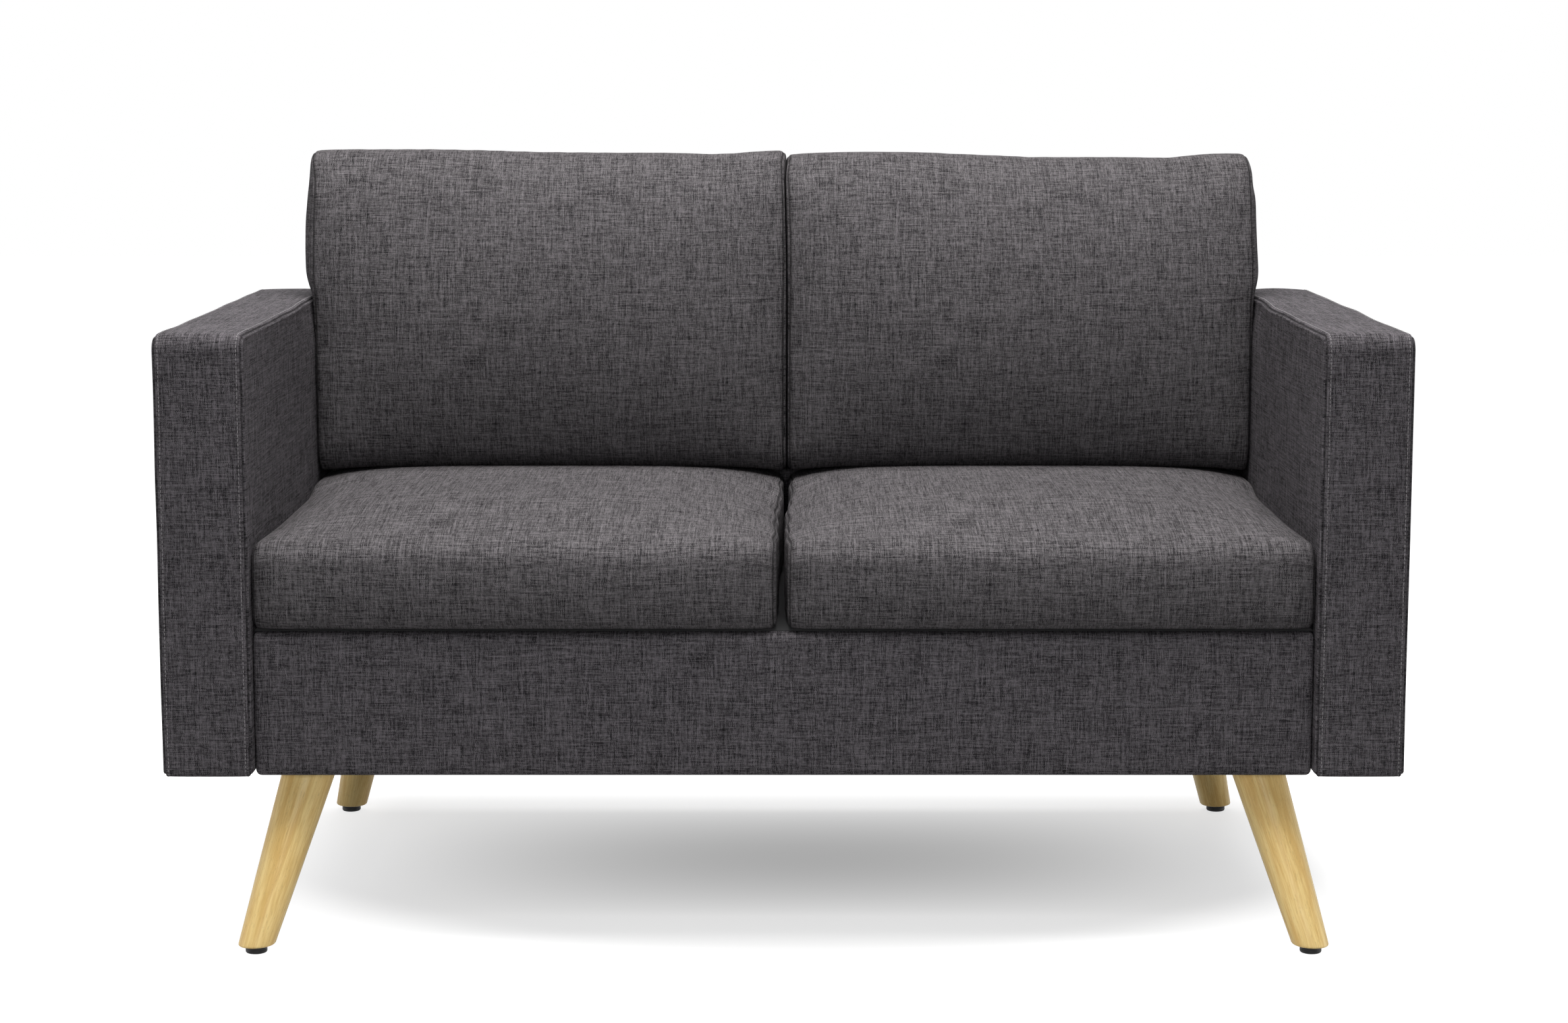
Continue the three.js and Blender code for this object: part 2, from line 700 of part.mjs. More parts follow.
const settee = new THREE.Group();
settee.add(makeBase());
settee.add(makeBack());
settee.add(makeArm(-1, 'left'));
settee.add(makeArm(1, 'right'));
legEnds.forEach((leg) => settee.add(makeLeg(leg)));
[[-1, 'left'], [1, 'right']].forEach(([side, hand]) => {
  const x = side * (cushionWidth / 2 + sideGap / 2);
  settee.add(makeCushion('seat_cushion', hand, x, seatPlan()));
  settee.add(makeCushion('back_cushion', hand, x, backPlan()));
});

export default settee;
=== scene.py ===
# %% [markdown]
# # A two-seat settee, dressed
#
# The settee comes in as plain CAD solids: legs, timbers, springs, and simple
# closed shells where the upholstery goes. Every piece is already the right size
# and in the right place, so this lesson doesn't measure anything again. It gives
# the soft pieces their sewn panels, seams, stitches and crown, and gives each
# surface its cloth, wood or metal.

import math

import bpy
import numpy as np
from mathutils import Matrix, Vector
from mathutils.kdtree import KDTree


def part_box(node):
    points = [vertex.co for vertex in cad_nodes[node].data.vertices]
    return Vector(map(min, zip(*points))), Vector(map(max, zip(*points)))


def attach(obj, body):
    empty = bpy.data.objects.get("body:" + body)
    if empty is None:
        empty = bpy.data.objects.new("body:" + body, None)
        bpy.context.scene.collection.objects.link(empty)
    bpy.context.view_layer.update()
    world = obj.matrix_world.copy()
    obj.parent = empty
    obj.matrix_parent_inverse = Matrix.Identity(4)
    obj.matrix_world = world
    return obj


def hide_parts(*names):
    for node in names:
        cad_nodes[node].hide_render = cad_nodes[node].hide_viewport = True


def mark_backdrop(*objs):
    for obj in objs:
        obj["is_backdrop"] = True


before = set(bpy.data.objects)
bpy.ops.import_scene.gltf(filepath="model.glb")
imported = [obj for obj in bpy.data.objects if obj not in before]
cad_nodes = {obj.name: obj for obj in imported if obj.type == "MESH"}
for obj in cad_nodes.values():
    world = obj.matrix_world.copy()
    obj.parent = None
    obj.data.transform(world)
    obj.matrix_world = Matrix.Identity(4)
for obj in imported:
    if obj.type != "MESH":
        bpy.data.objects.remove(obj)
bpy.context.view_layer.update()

# %% [markdown]
# ## Camera
#
# The photograph looks straight at the front from a little above the back
# cushions. One way to find a camera is to turn it by hand until the picture
# fits. Here it was solved from the corners of the arms and from where the feet
# stand, so the lens and the tilt are plain numbers.


# %% Place the camera
def link_new(name, data):
    """A new object that holds the data, linked into the scene."""
    holder = bpy.data.objects.new(name, data)
    bpy.context.collection.objects.link(holder)
    return holder


photo_width_px, focal_px = 2380, 4790
camera_height, camera_away, degrees_down = 0.933, 3.575, 8.06
camera_data = bpy.data.cameras.new("studio_camera")
camera_data.sensor_fit = "HORIZONTAL"
camera_data.sensor_width = 36
camera_data.lens = camera_data.sensor_width * focal_px / photo_width_px
camera_data.shift_x = 0.0003
camera = link_new("studio_camera", camera_data)
camera.location = (0, -camera_away, camera_height)
camera.rotation_euler = (math.radians(90 - degrees_down), 0, 0)
bpy.context.scene.camera = camera
bpy.context.scene.view_settings.view_transform = "Standard"
print("lens", round(camera_data.lens, 2), "mm")

# %% [markdown]
# ## Materials from nodes
#
# A material is a small network. These helpers add a node, join two sockets and
# make a node group with named inputs and outputs, so that the networks below
# read like recipes.


# %% Helpers for node networks
def add_node(tree, kind, inputs=None, **settings):
    """A new node with its settings and the values or links of its inputs."""
    node = tree.nodes.new(kind)
    for name, value in settings.items():
        setattr(node, name, value)
    for name, value in (inputs or {}).items():
        if isinstance(value, bpy.types.NodeSocket):
            tree.links.new(value, node.inputs[name])
        else:
            node.inputs[name].default_value = value
    return node


def do_math(tree, operation, *values):
    """The result of a Math node whose inputs are numbers or links."""
    inputs = dict(enumerate(values))
    return add_node(tree, "ShaderNodeMath", inputs, operation=operation).outputs[0]


def remap(tree, value, low, high, to_low, to_high, smooth=True):
    """The value stretched from one range to another, without leaving it."""
    kind = "SMOOTHSTEP" if smooth else "LINEAR"
    node = add_node(tree, "ShaderNodeMapRange", {
        "Value": value, "From Min": low, "From Max": high, "To Min": to_low, "To Max": to_high,
    }, interpolation_type=kind)
    return node.outputs["Result"]


def mix_colours(tree, share, first, second, blend="MIX"):
    """Two colours mixed by a share."""
    node = add_node(tree, "ShaderNodeMix", data_type="RGBA", blend_type=blend)
    for socket, value in zip((node.inputs[0], node.inputs[6], node.inputs[7]), (share, first, second)):
        if isinstance(value, bpy.types.NodeSocket):
            tree.links.new(value, socket)
        else:
            socket.default_value = value
    return node.outputs[2]


def new_group(name, inputs, outputs, kind="ShaderNodeTree"):
    """A node group with named sockets, and its two end nodes."""
    group = bpy.data.node_groups.new(name, kind)
    for title, socket_type, default in inputs:
        socket = group.interface.new_socket(title, in_out="INPUT", socket_type=socket_type)
        if default is not None:
            socket.default_value = default
    for title, socket_type in outputs:
        group.interface.new_socket(title, in_out="OUTPUT", socket_type=socket_type)
    return group, group.nodes.new("NodeGroupInput"), group.nodes.new("NodeGroupOutput")


def object_place(tree):
    """The point on the piece, in metres."""
    return add_node(tree, "ShaderNodeTexCoord").outputs["Object"]


def noise_on(tree, place, scale, detail):
    """A soft noise from 0 to 1."""
    values = {"Vector": place, "Scale": scale, "Detail": detail}
    return add_node(tree, "ShaderNodeTexNoise", values).outputs["Fac"]


def rgb(red, green, blue):
    return (red, green, blue, 1)


FLOAT, COLOUR, VECTOR = "NodeSocketFloat", "NodeSocketColor", "NodeSocketVector"

# %% [markdown]
# ### Melange cloth
#
# The cover is a plain weave of mottled yarns: each yarn is spun from pale and
# dark fibres, so its tone wanders along its length. A noise pattern alone would
# look like felt. The group counts the yarns in both directions instead, gives
# each one its own wandering tone, and shows the warp or the weft in turn, as a
# real weave does. It reads the cloth's own UV map, in metres, so the threads
# follow each sewn panel.


# %% The weave group
warp_pitch, weft_pitch = 0.00100, 0.00068
# what each tone is: its own seed, yarns across and along one spot, and noise detail
weave_tones = {
    "plain": {"warp": (1.7, 1, 8, 2), "weft": (8.3, 1, 6, 2)},
    "slubs": {"warp": (15.1, 1, 50, 1), "weft": (23.9, 1, 36, 1)},
    "bands": {"warp": (31.3, 2, 60, 1), "weft": (42.7, 3, 40, 1)},
}
tone_shares = {"plain": 0.48, "slubs": 0.44, "bands": 0.08}
darkest_tone, lightest_tone = 0.28, 0.76
# how far apart two yarns lie in the noise, so that their tones have nothing in common
row_stride = 3.71
# painted shade and highlight: how dark the holes between the yarns are drawn, and how bright the yarns' tops
painted_hole_shade, painted_top_highlight = 0.72, 1.06


def make_weave_group():
    group, start, end = new_group(
        "melange_weave",
        [("Vector", VECTOR, None), ("Warp Pitch", FLOAT, warp_pitch), ("Weft Pitch", FLOAT, weft_pitch),
         ("Dark", COLOUR, rgb(0, 0, 0)), ("Light", COLOUR, rgb(1, 1, 1)), ("Contrast", FLOAT, 1)],
        [("Color", COLOUR), ("Height", FLOAT), ("Tone", FLOAT)])
    split = add_node(group, "ShaderNodeSeparateXYZ", {0: start.outputs["Vector"]})
    across = do_math(group, "DIVIDE", split.outputs["X"], start.outputs["Warp Pitch"])
    along = do_math(group, "DIVIDE", split.outputs["Y"], start.outputs["Weft Pitch"])
    warp = do_math(group, "FLOOR", across)
    weft = do_math(group, "FLOOR", along)

    def yarn_tone(number, run, seed, thickness, length, detail):
        """Tone that wanders along one yarn and jumps from yarn to yarn."""
        row = do_math(group, "FLOOR", do_math(group, "DIVIDE", number, thickness))
        point = add_node(group, "ShaderNodeCombineXYZ", {
            "X": do_math(group, "MULTIPLY", row, row_stride), "Y": do_math(group, "DIVIDE", run, length), "Z": seed})
        noise = add_node(group, "ShaderNodeTexNoise", {
            "Vector": point.outputs[0], "Scale": 1, "Detail": detail, "Roughness": 0.6})
        return noise.outputs["Fac"]

    turn = do_math(group, "FLOORED_MODULO", do_math(group, "ADD", warp, weft), 2)
    rest = do_math(group, "SUBTRACT", 1, turn)
    parts = []
    for title, yarns in weave_tones.items():
        warp_part, weft_part = yarn_tone(warp, along, *yarns["warp"]), yarn_tone(weft, across, *yarns["weft"])
        if title == "plain":
            both = do_math(group, "ADD", do_math(group, "MULTIPLY", warp_part, rest),
                           do_math(group, "MULTIPLY", weft_part, turn))
        else:
            both = do_math(group, "MULTIPLY", do_math(group, "ADD", warp_part, weft_part), 0.5)
        parts.append(do_math(group, "MULTIPLY", both, tone_shares[title]))
    tone = do_math(group, "ADD", do_math(group, "ADD", parts[0], parts[1]), parts[2])
    spread = do_math(group, "MULTIPLY", do_math(group, "SUBTRACT", tone, 0.5), start.outputs["Contrast"])
    tone = remap(group, do_math(group, "ADD", spread, 0.5), darkest_tone, lightest_tone, 0, 1, smooth=False)
    ridge_u = do_math(group, "ABSOLUTE", do_math(group, "SINE", do_math(group, "MULTIPLY", across, math.pi)))
    ridge_v = do_math(group, "ABSOLUTE", do_math(group, "SINE", do_math(group, "MULTIPLY", along, math.pi)))
    height = do_math(group, "MULTIPLY", do_math(group, "POWER", ridge_u, 0.5), do_math(group, "POWER", ridge_v, 0.5))
    height = do_math(group, "MULTIPLY", height, do_math(group, "ADD", 0.6, do_math(group, "MULTIPLY", tone, 0.4)))
    cloth = mix_colours(group, tone, start.outputs["Dark"], start.outputs["Light"])
    # painted shade in the holes between the yarns and a painted highlight on their tops, over the bump
    shade = remap(group, height, 0, 0.6, painted_hole_shade, painted_top_highlight, smooth=False)
    cloth = mix_colours(group, 1, cloth, shade, "MULTIPLY")
    group.links.new(cloth, end.inputs["Color"])
    group.links.new(height, end.inputs["Height"])
    group.links.new(tone, end.inputs["Tone"])
    return group


weave_group = make_weave_group()
print("weave group:", len(weave_group.nodes), "nodes")

# %% [markdown]
# ### Wood grain
#
# The legs are turned from a pale hardwood and lacquered. Its grain is nearly
# straight, with soft wide bands and many short darker flecks that run along the
# leg. The timbers and boards inside are the same kind of pattern, rougher and
# in other colours, so one group with its own inputs serves them all.


# %% The grain group
band_width = 0.006
# bands, fine lines and flecks: width and length in metres, noise detail, seed
grain_sizes = ((0.011, 0.16, 3, 4.2), (0.0014, 0.07, 2, 9.6), (0.0009, 0.006, 1, 14.8))
grain_shares = (0.6, 0.4)
fleck_colour = rgb(0.16, 0.08, 0.03)


def make_grain_group():
    group, start, end = new_group(
        "wood_grain",
        [("Vector", VECTOR, None), ("Band Width", FLOAT, band_width), ("Dark", COLOUR, rgb(0, 0, 0)),
         ("Light", COLOUR, rgb(1, 1, 1)), ("Fleck", FLOAT, 0.3)],
        [("Color", COLOUR), ("Height", FLOAT), ("Band", FLOAT)])

    def stretched(size_across, size_along, detail, seed):
        """Noise whose spots are long in the third direction, along the grain."""
        place = add_node(group, "ShaderNodeMapping", {
            "Vector": start.outputs["Vector"], "Location": (seed, seed, 0),
            "Scale": (1 / size_across, 1 / size_across, 1 / size_along)})
        noise = add_node(group, "ShaderNodeTexNoise", {
            "Vector": place.outputs[0], "Scale": 1, "Detail": detail, "Roughness": 0.6, "Distortion": 0.3})
        return noise.outputs["Fac"]

    bands, lines, flecks = (stretched(*size) for size in grain_sizes)
    band_share, line_share = grain_shares
    width = do_math(group, "DIVIDE", band_width, start.outputs["Band Width"])
    mixed = do_math(group, "ADD", do_math(group, "MULTIPLY", bands, do_math(group, "MULTIPLY", width, band_share)),
                    do_math(group, "MULTIPLY", lines, line_share))
    band = remap(group, mixed, 0.36, 0.64, 0, 1)
    colour = mix_colours(group, band, start.outputs["Light"], start.outputs["Dark"])
    spot = do_math(group, "MULTIPLY", remap(group, flecks, 0.62, 0.74, 0, 1), start.outputs["Fleck"])
    colour = mix_colours(group, spot, colour, mix_colours(group, 0.6, colour, fleck_colour))
    group.links.new(colour, end.inputs["Color"])
    group.links.new(do_math(group, "SUBTRACT", lines, do_math(group, "MULTIPLY", spot, 0.5)), end.inputs["Height"])
    group.links.new(band, end.inputs["Band"])
    return group


grain_group = make_grain_group()
print("grain group:", len(grain_group.nodes), "nodes")


# %% A material starts with its shader
def new_material(name, **shader_values):
    """A material with one Principled BSDF, whose plain values are set on it."""
    material = bpy.data.materials.new(name)
    material.use_nodes = True
    tree = material.node_tree
    tree.nodes.clear()
    shader = tree.nodes.new("ShaderNodeBsdfPrincipled")
    output = tree.nodes.new("ShaderNodeOutputMaterial")
    tree.links.new(shader.outputs[0], output.inputs["Surface"])
    for socket, value in shader_values.items():
        shader.inputs[socket.replace("_", " ")].default_value = value
    return material, tree, shader


def add_bump(tree, shader, height, strength, distance):
    bump = add_node(tree, "ShaderNodeBump", {"Height": height, "Strength": strength, "Distance": distance})
    tree.links.new(bump.outputs[0], shader.inputs["Normal"])
    return bump


# %% [markdown]
# The same cloth covers the frame and the cushions. The upholstery is pulled
# tight over board, and the cushion covers are a little fuller. Beside a seam both
# are darkened: painted shade in the fold, with a little dust. Each sewn mesh
# carries its distance from the nearest seam, and the material reads that attribute.


# %% Cover cloth
# painted shade with a little dust: within this reach of a seam, in metres, the cloth falls to this share of its colour
fold_from, fold_to, fold_shade_and_dust = 0.0001, 0.0022, 0.38


def make_cloth(name, dark, light, contrast):
    material, tree, shader = new_material(name, Roughness=0.92, Specular_IOR_Level=0.04)
    uv = add_node(tree, "ShaderNodeUVMap", uv_map="cloth").outputs[0]
    weave = add_node(tree, "ShaderNodeGroup", {"Vector": uv, "Dark": dark, "Light": light, "Contrast": contrast},
                     node_tree=weave_group)
    seam = add_node(tree, "ShaderNodeAttribute", attribute_name="seam_distance")
    # painted shade in each seam's fold, with a little dust
    fold = remap(tree, do_math(tree, "ABSOLUTE", seam.outputs["Fac"]), fold_from, fold_to, fold_shade_and_dust, 1)
    colour = mix_colours(tree, 1, weave.outputs["Color"], fold, "MULTIPLY")
    tree.links.new(colour, shader.inputs["Base Color"])
    tree.links.new(remap(tree, weave.outputs["Tone"], 0, 1, 0.86, 0.97), shader.inputs["Roughness"])
    add_bump(tree, shader, weave.outputs["Height"], 0.55, 0.0004)
    return material


cover_cloth = make_cloth("cover_cloth", rgb(0.015, 0.0140, 0.0152), rgb(0.143, 0.133, 0.143), 2.6)
cushion_cloth = make_cloth("cushion_cloth", rgb(0.015, 0.0140, 0.0150), rgb(0.154, 0.145, 0.151), 2.3)


# %% Sewing thread
def make_thread():
    material, tree, shader = new_material("sewing_thread", Roughness=0.6, Sheen_Weight=0.15)
    noise = noise_on(tree, object_place(tree), 900, 1)
    colour = mix_colours(tree, noise, rgb(0.17, 0.163, 0.167), rgb(0.32, 0.308, 0.314))
    tree.links.new(colour, shader.inputs["Base Color"])
    add_bump(tree, shader, noise, 0.3, 0.0002)
    return material


sewing_thread = make_thread()


# %% [markdown]
# The leg's lacquer is a thin clear coat over the grain. The grain runs along
# the leg, so each leg's mesh brings its own UV-like attribute, with the third
# number measured along its axis. The hidden timbers use plain object
# coordinates, turned so that the grain follows their long side.


# %% Leg wood and hidden timber
def make_wood(name, place, dark, light, fleck, roughness, bump, **shader_values):
    """Wood whose grain runs along the third direction of a place, given by a function of the tree."""
    material, tree, shader = new_material(name, **shader_values)
    grain = add_node(tree, "ShaderNodeGroup", {
        "Vector": place(tree), "Band Width": band_width, "Dark": dark, "Light": light, "Fleck": fleck,
    }, node_tree=grain_group)
    tree.links.new(grain.outputs["Color"], shader.inputs["Base Color"])
    tree.links.new(remap(tree, grain.outputs["Band"], 0, 1, *roughness), shader.inputs["Roughness"])
    add_bump(tree, shader, grain.outputs["Height"], *bump)
    return material


def along_the_leg(tree):
    return add_node(tree, "ShaderNodeAttribute", attribute_name="grain_place").outputs["Vector"]


leg_wood = make_wood(
    "leg_wood", along_the_leg, rgb(0.74, 0.483, 0.168), rgb(0.91, 0.690, 0.303), 0.35, (0.34, 0.44), (0.12, 0.0002),
    Roughness=0.38, Coat_Weight=0.06, Coat_Roughness=0.22, Specular_IOR_Level=0.15)


def make_inner_wood(name, dark, light, turn, fleck, roughness):
    """Bare wood whose grain is turned to run along the piece."""
    def turned(tree):
        return add_node(tree, "ShaderNodeMapping", {"Vector": object_place(tree), "Rotation": turn}).outputs[0]

    return make_wood(name, turned, dark, light, fleck, (roughness - 0.08, roughness), (0.35, 0.0006),
                     Roughness=roughness, Specular_IOR_Level=0.3)


quarter_turn = math.pi / 2
sawn_dark, sawn_light = rgb(0.40, 0.25, 0.12), rgb(0.66, 0.47, 0.26)
timber_along = {
    "X": make_inner_wood("timber_across", sawn_dark, sawn_light, (0, quarter_turn, 0), 0.3, 0.8),
    "Y": make_inner_wood("timber_deep", sawn_dark, sawn_light, (quarter_turn, 0, 0), 0.3, 0.8),
    "Z": make_inner_wood("timber_upright", sawn_dark, sawn_light, (0, 0, 0), 0.3, 0.8),
}
back_board_wood = make_inner_wood(
    "pressed_board", rgb(0.26, 0.16, 0.08), rgb(0.44, 0.29, 0.16), (0, quarter_turn, 0), 0.6, 0.85)


# %% Zinc-plated steel, black nylon, foam and lining
def voronoi_on(tree, place, scale, output, **values):
    """Cells: their colour, or the distance from their middle."""
    return add_node(tree, "ShaderNodeTexVoronoi", {"Vector": place, "Scale": scale, **values}).outputs[output]


def make_steel():
    material, tree, shader = new_material("plated_steel", Metallic=0.95, Roughness=0.34)
    spangle = voronoi_on(tree, object_place(tree), 420, "Color")
    grey = add_node(tree, "ShaderNodeSeparateColor", {0: spangle}).outputs[0]
    colour = mix_colours(tree, grey, rgb(0.42, 0.42, 0.43), rgb(0.60, 0.60, 0.62))
    tree.links.new(colour, shader.inputs["Base Color"])
    tree.links.new(remap(tree, grey, 0, 1, 0.28, 0.42), shader.inputs["Roughness"])
    return material


def make_nylon():
    material, tree, shader = new_material("black_nylon", Roughness=0.45, Specular_IOR_Level=0.2)
    noise = noise_on(tree, object_place(tree), 1400, 2)
    colour = mix_colours(tree, noise, rgb(0.008, 0.008, 0.009), rgb(0.02, 0.02, 0.021))
    tree.links.new(colour, shader.inputs["Base Color"])
    tree.links.new(remap(tree, noise, 0.3, 0.7, 0.38, 0.55), shader.inputs["Roughness"])
    add_bump(tree, shader, noise, 0.2, 0.0001)
    return material


def make_foam():
    material, tree, shader = new_material("open_cell_foam", Roughness=0.95, Specular_IOR_Level=0.2)
    cells = voronoi_on(tree, object_place(tree), 700, "Distance")
    colour = mix_colours(tree, cells, rgb(0.52, 0.46, 0.28), rgb(0.80, 0.74, 0.52))
    tree.links.new(colour, shader.inputs["Base Color"])
    add_bump(tree, shader, cells, 0.6, 0.0008)
    return material


def make_lining():
    material, tree, shader = new_material("black_lining", Roughness=0.9, Specular_IOR_Level=0.2, Sheen_Weight=0.1)
    place = object_place(tree)
    dots = voronoi_on(tree, place, 620, "Distance", Randomness=0.15)
    pressed = do_math(tree, "MULTIPLY", remap(tree, dots, 0.1, 0.45, 0.4, 1), noise_on(tree, place, 900, 3))
    colour = mix_colours(tree, pressed, rgb(0.010, 0.010, 0.011), rgb(0.042, 0.041, 0.043))
    tree.links.new(colour, shader.inputs["Base Color"])
    add_bump(tree, shader, pressed, 0.4, 0.0003)
    return material


plated_steel, black_nylon = make_steel(), make_nylon()
open_cell_foam, black_lining = make_foam(), make_lining()
print(len(bpy.data.materials), "materials")

# %% [markdown]
# ## Stage and light
#
# The photograph has a pure white ground and one soft shadow under the settee.
# A very bright lamp could make the floor white, but it would bleach the cloth.
# So the floor is pale, the lamps stay at a plain level, and only what the camera
# sees of the floor away from the settee is lifted to white. Under the settee that
# lift is held back in a soft oval: a painted shadow over the real one.


# %% Floor and backdrop
def background_rays(tree):
    """1 for what the camera sees, straight or in a shiny or clear surface."""
    path = add_node(tree, "ShaderNodeLightPath")
    seen = do_math(tree, "ADD", path.outputs["Is Camera Ray"], path.outputs["Is Glossy Ray"])
    seen = do_math(tree, "ADD", seen, path.outputs["Is Transmission Ray"])
    return do_math(tree, "MINIMUM", seen, 1)


def hump(tree, value, centre, reach):
    """1 at the centre, falling to 0 at the reach."""
    away = do_math(tree, "DIVIDE", do_math(tree, "SUBTRACT", value, centre), reach)
    return do_math(tree, "MAXIMUM", do_math(tree, "SUBTRACT", 1, do_math(tree, "POWER", away, 2)), 0)


# the soft shadow painted into the floor's glow under the settee: its middle, how far its front bends back at the sides,
# where it fades, and its shares
shadow_middle, shadow_bend = 0.02, 0.85
side_fade, rear_fade, front_fade = (0.49, 0.69), (0.34, 0.50), (-0.46, -0.28)
core_centre, core_reach = (0.04, 0.08), (0.52, 0.26)
shadow_share, core_share = 0.32, 0.33


def make_floor_material():
    material = bpy.data.materials.new("pale_floor")
    material.use_nodes = True
    tree = material.node_tree
    tree.nodes.clear()
    split = add_node(tree, "ShaderNodeSeparateXYZ", {0: object_place(tree)})
    x, y = split.outputs["X"], split.outputs["Y"]
    aside = do_math(tree, "ABSOLUTE", do_math(tree, "SUBTRACT", x, shadow_middle))
    front = do_math(tree, "SUBTRACT", y, do_math(tree, "MULTIPLY", do_math(tree, "POWER", aside, 2), shadow_bend))
    under = do_math(tree, "MULTIPLY", remap(tree, aside, *side_fade, 1, 0), remap(tree, y, *rear_fade, 1, 0))
    under = do_math(tree, "MULTIPLY", under, remap(tree, front, *front_fade, 0, 1))
    core_x, core_y = (hump(tree, *sizes) for sizes in zip((x, y), core_centre, core_reach))
    core = do_math(tree, "MULTIPLY", core_x, core_y)
    # painted shadow: the glow that the camera sees is lowered under the settee
    shade = do_math(tree, "ADD", do_math(tree, "MULTIPLY", under, shadow_share),
                    do_math(tree, "MULTIPLY", core, core_share))
    strength = do_math(tree, "MULTIPLY", do_math(tree, "SUBTRACT", 1, shade), background_rays(tree))
    glow = add_node(tree, "ShaderNodeEmission", {"Color": rgb(1, 1, 1), "Strength": strength})
    matt = add_node(tree, "ShaderNodeBsdfDiffuse", {"Color": rgb(0.36, 0.36, 0.36)})
    both = add_node(tree, "ShaderNodeAddShader", {0: matt.outputs[0], 1: glow.outputs[0]})
    add_node(tree, "ShaderNodeOutputMaterial", {"Surface": both.outputs[0]})
    return material


def make_floor(size, level):
    half = size / 2
    mesh = bpy.data.meshes.new("studio_floor")
    mesh.from_pydata([(-half, -half, level), (half, -half, level), (half, half, level), (-half, half, level)],
                     [], [(0, 1, 2, 3)])
    mesh.materials.append(make_floor_material())
    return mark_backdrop(link_new("studio_floor", mesh))


make_floor(size=24, level=-0.0003)

# %% World and lamps
world = bpy.data.worlds.new("studio_world")
bpy.context.scene.world = world
world.use_nodes = True
world.node_tree.nodes.clear()
soft_sky = add_node(world.node_tree, "ShaderNodeBackground", {"Color": rgb(0.96, 0.98, 1), "Strength": 0.04})
white_sky = add_node(world.node_tree, "ShaderNodeBackground", {"Color": rgb(1, 1, 1), "Strength": 1})
sky = add_node(world.node_tree, "ShaderNodeMixShader", {
    0: background_rays(world.node_tree), 1: soft_sky.outputs[0], 2: white_sky.outputs[0]})
add_node(world.node_tree, "ShaderNodeOutputWorld", {"Surface": sky.outputs[0]})


def soft_lamp(name, place, aim, size, watts, tint):
    lamp = bpy.data.lights.new(name, "AREA")
    lamp.shape = "RECTANGLE"
    lamp.size, lamp.size_y = size
    lamp.energy = watts
    lamp.color = tint
    holder = link_new(name, lamp)
    holder.location = place
    holder.rotation_euler = (Vector(aim) - Vector(place)).to_track_quat("-Z", "Y").to_euler()


# each lamp's place, aim, size in metres, watts and tint
lamps = {
    "overhead_softbox": ((0, -0.30, 3.0), (0, 0.05, 0.4), (2.2, 2.4), 142, (1, 0.985, 0.975)),
    "front_softbox": ((0, -1.8, 3.0), (0, 0.05, 0.4), (1.8, 1.6), 22, (0.985, 0.985, 1)),
    "front_fill": ((0, -4.5, 1.25), (0, 0, 0.3), (1.8, 0.6), 40, (0.98, 0.985, 1)),
    "rear_fill": ((0, 4.2, 1.3), (0, 0.3, 0.4), (3.0, 1.6), 48, (1, 1, 1)),
    "left_fill": ((-3.6, -0.4, 0.22), (-0.6, -0.2, 0.2), (2.4, 0.4), 26, (1, 1, 1)),
    "right_fill": ((3.6, -0.4, 0.22), (0.6, -0.2, 0.2), (2.4, 0.4), 26, (1, 1, 1)),
}
for name, lamp in lamps.items():
    soft_lamp(name, *lamp)

# %% [markdown]
# ## Sewn boxes
#
# An arm, an apron or a boxed cushion is sewn in the same way. One long strip of
# cloth runs round the front, top, back and bottom, and two side panels are sewn
# to its long edges. A cube with a bevel has none of that. Here the mesh is laid
# out panel by panel: a ring of points goes round the strip, lines of points
# cross it, and they lie close together beside the seam, so that the fold and the
# raised allowance have real shape. So has the dimple of the topstitching, which
# the arms and the back have and the cushions have not.


# %% Marks along a panel, from one seam to the other
seam_lines_mm = (0.9, 2.0, 3.4, 5.0, 6.8)
# the topstitching runs on the fourth line, 5 mm from the seam
stitch_line = 4
# steps from the last of these lines to the end of the rolled edge, on the fine mesh and on the rough one
fine_step, rough_step = 0.003, 0.008
# a cushion's fold lies this far onto the strip
cushion_seam_shift = 0.0008
# the weave is drawn out from front to back: the UV map has this share of the real depth
depth_share = 0.5


def panel_marks(length, step, radius, rough=False):
    """Distances along the cloth from one seam to the other: fine beside each seam, even between."""
    lines, fine = (seam_lines_mm[-1:], rough_step) if rough else (seam_lines_mm, fine_step)
    near = [0.0] + [v / 1000 for v in lines]
    roll = radius * math.pi / 4
    near += list(np.arange(near[-1] + fine, roll + fine + 0.001, fine))
    inner = length - 2 * near[-1]
    count = max(2, round(inner / step))
    middle = [near[-1] + inner * i / count for i in range(1, count)]
    return np.array(near + middle + [length - v for v in reversed(near)])


def rolled(along, radius):
    """Distance from the edge, and drop of the surface, at each distance along the cloth from the seam."""
    angle = np.clip(math.pi / 4 - along / radius, 0, None)
    flat = np.clip(along - radius * math.pi / 4, 0, None)
    return radius * (1 - np.sin(angle)) + flat, radius * (1 - np.cos(angle))


def side_marks(low, high, radius, step, corner, rough):
    """Places across a side panel, whose outer marks are on the seam."""
    roll = radius * math.pi / 4
    length = (high - low) - 2 * radius + 2 * roll
    marks = panel_marks(length, step, max(radius, corner), rough)
    inset, _ = rolled(np.minimum(marks, length - marks), radius)
    return np.where(marks < length / 2, low + inset, high - inset)


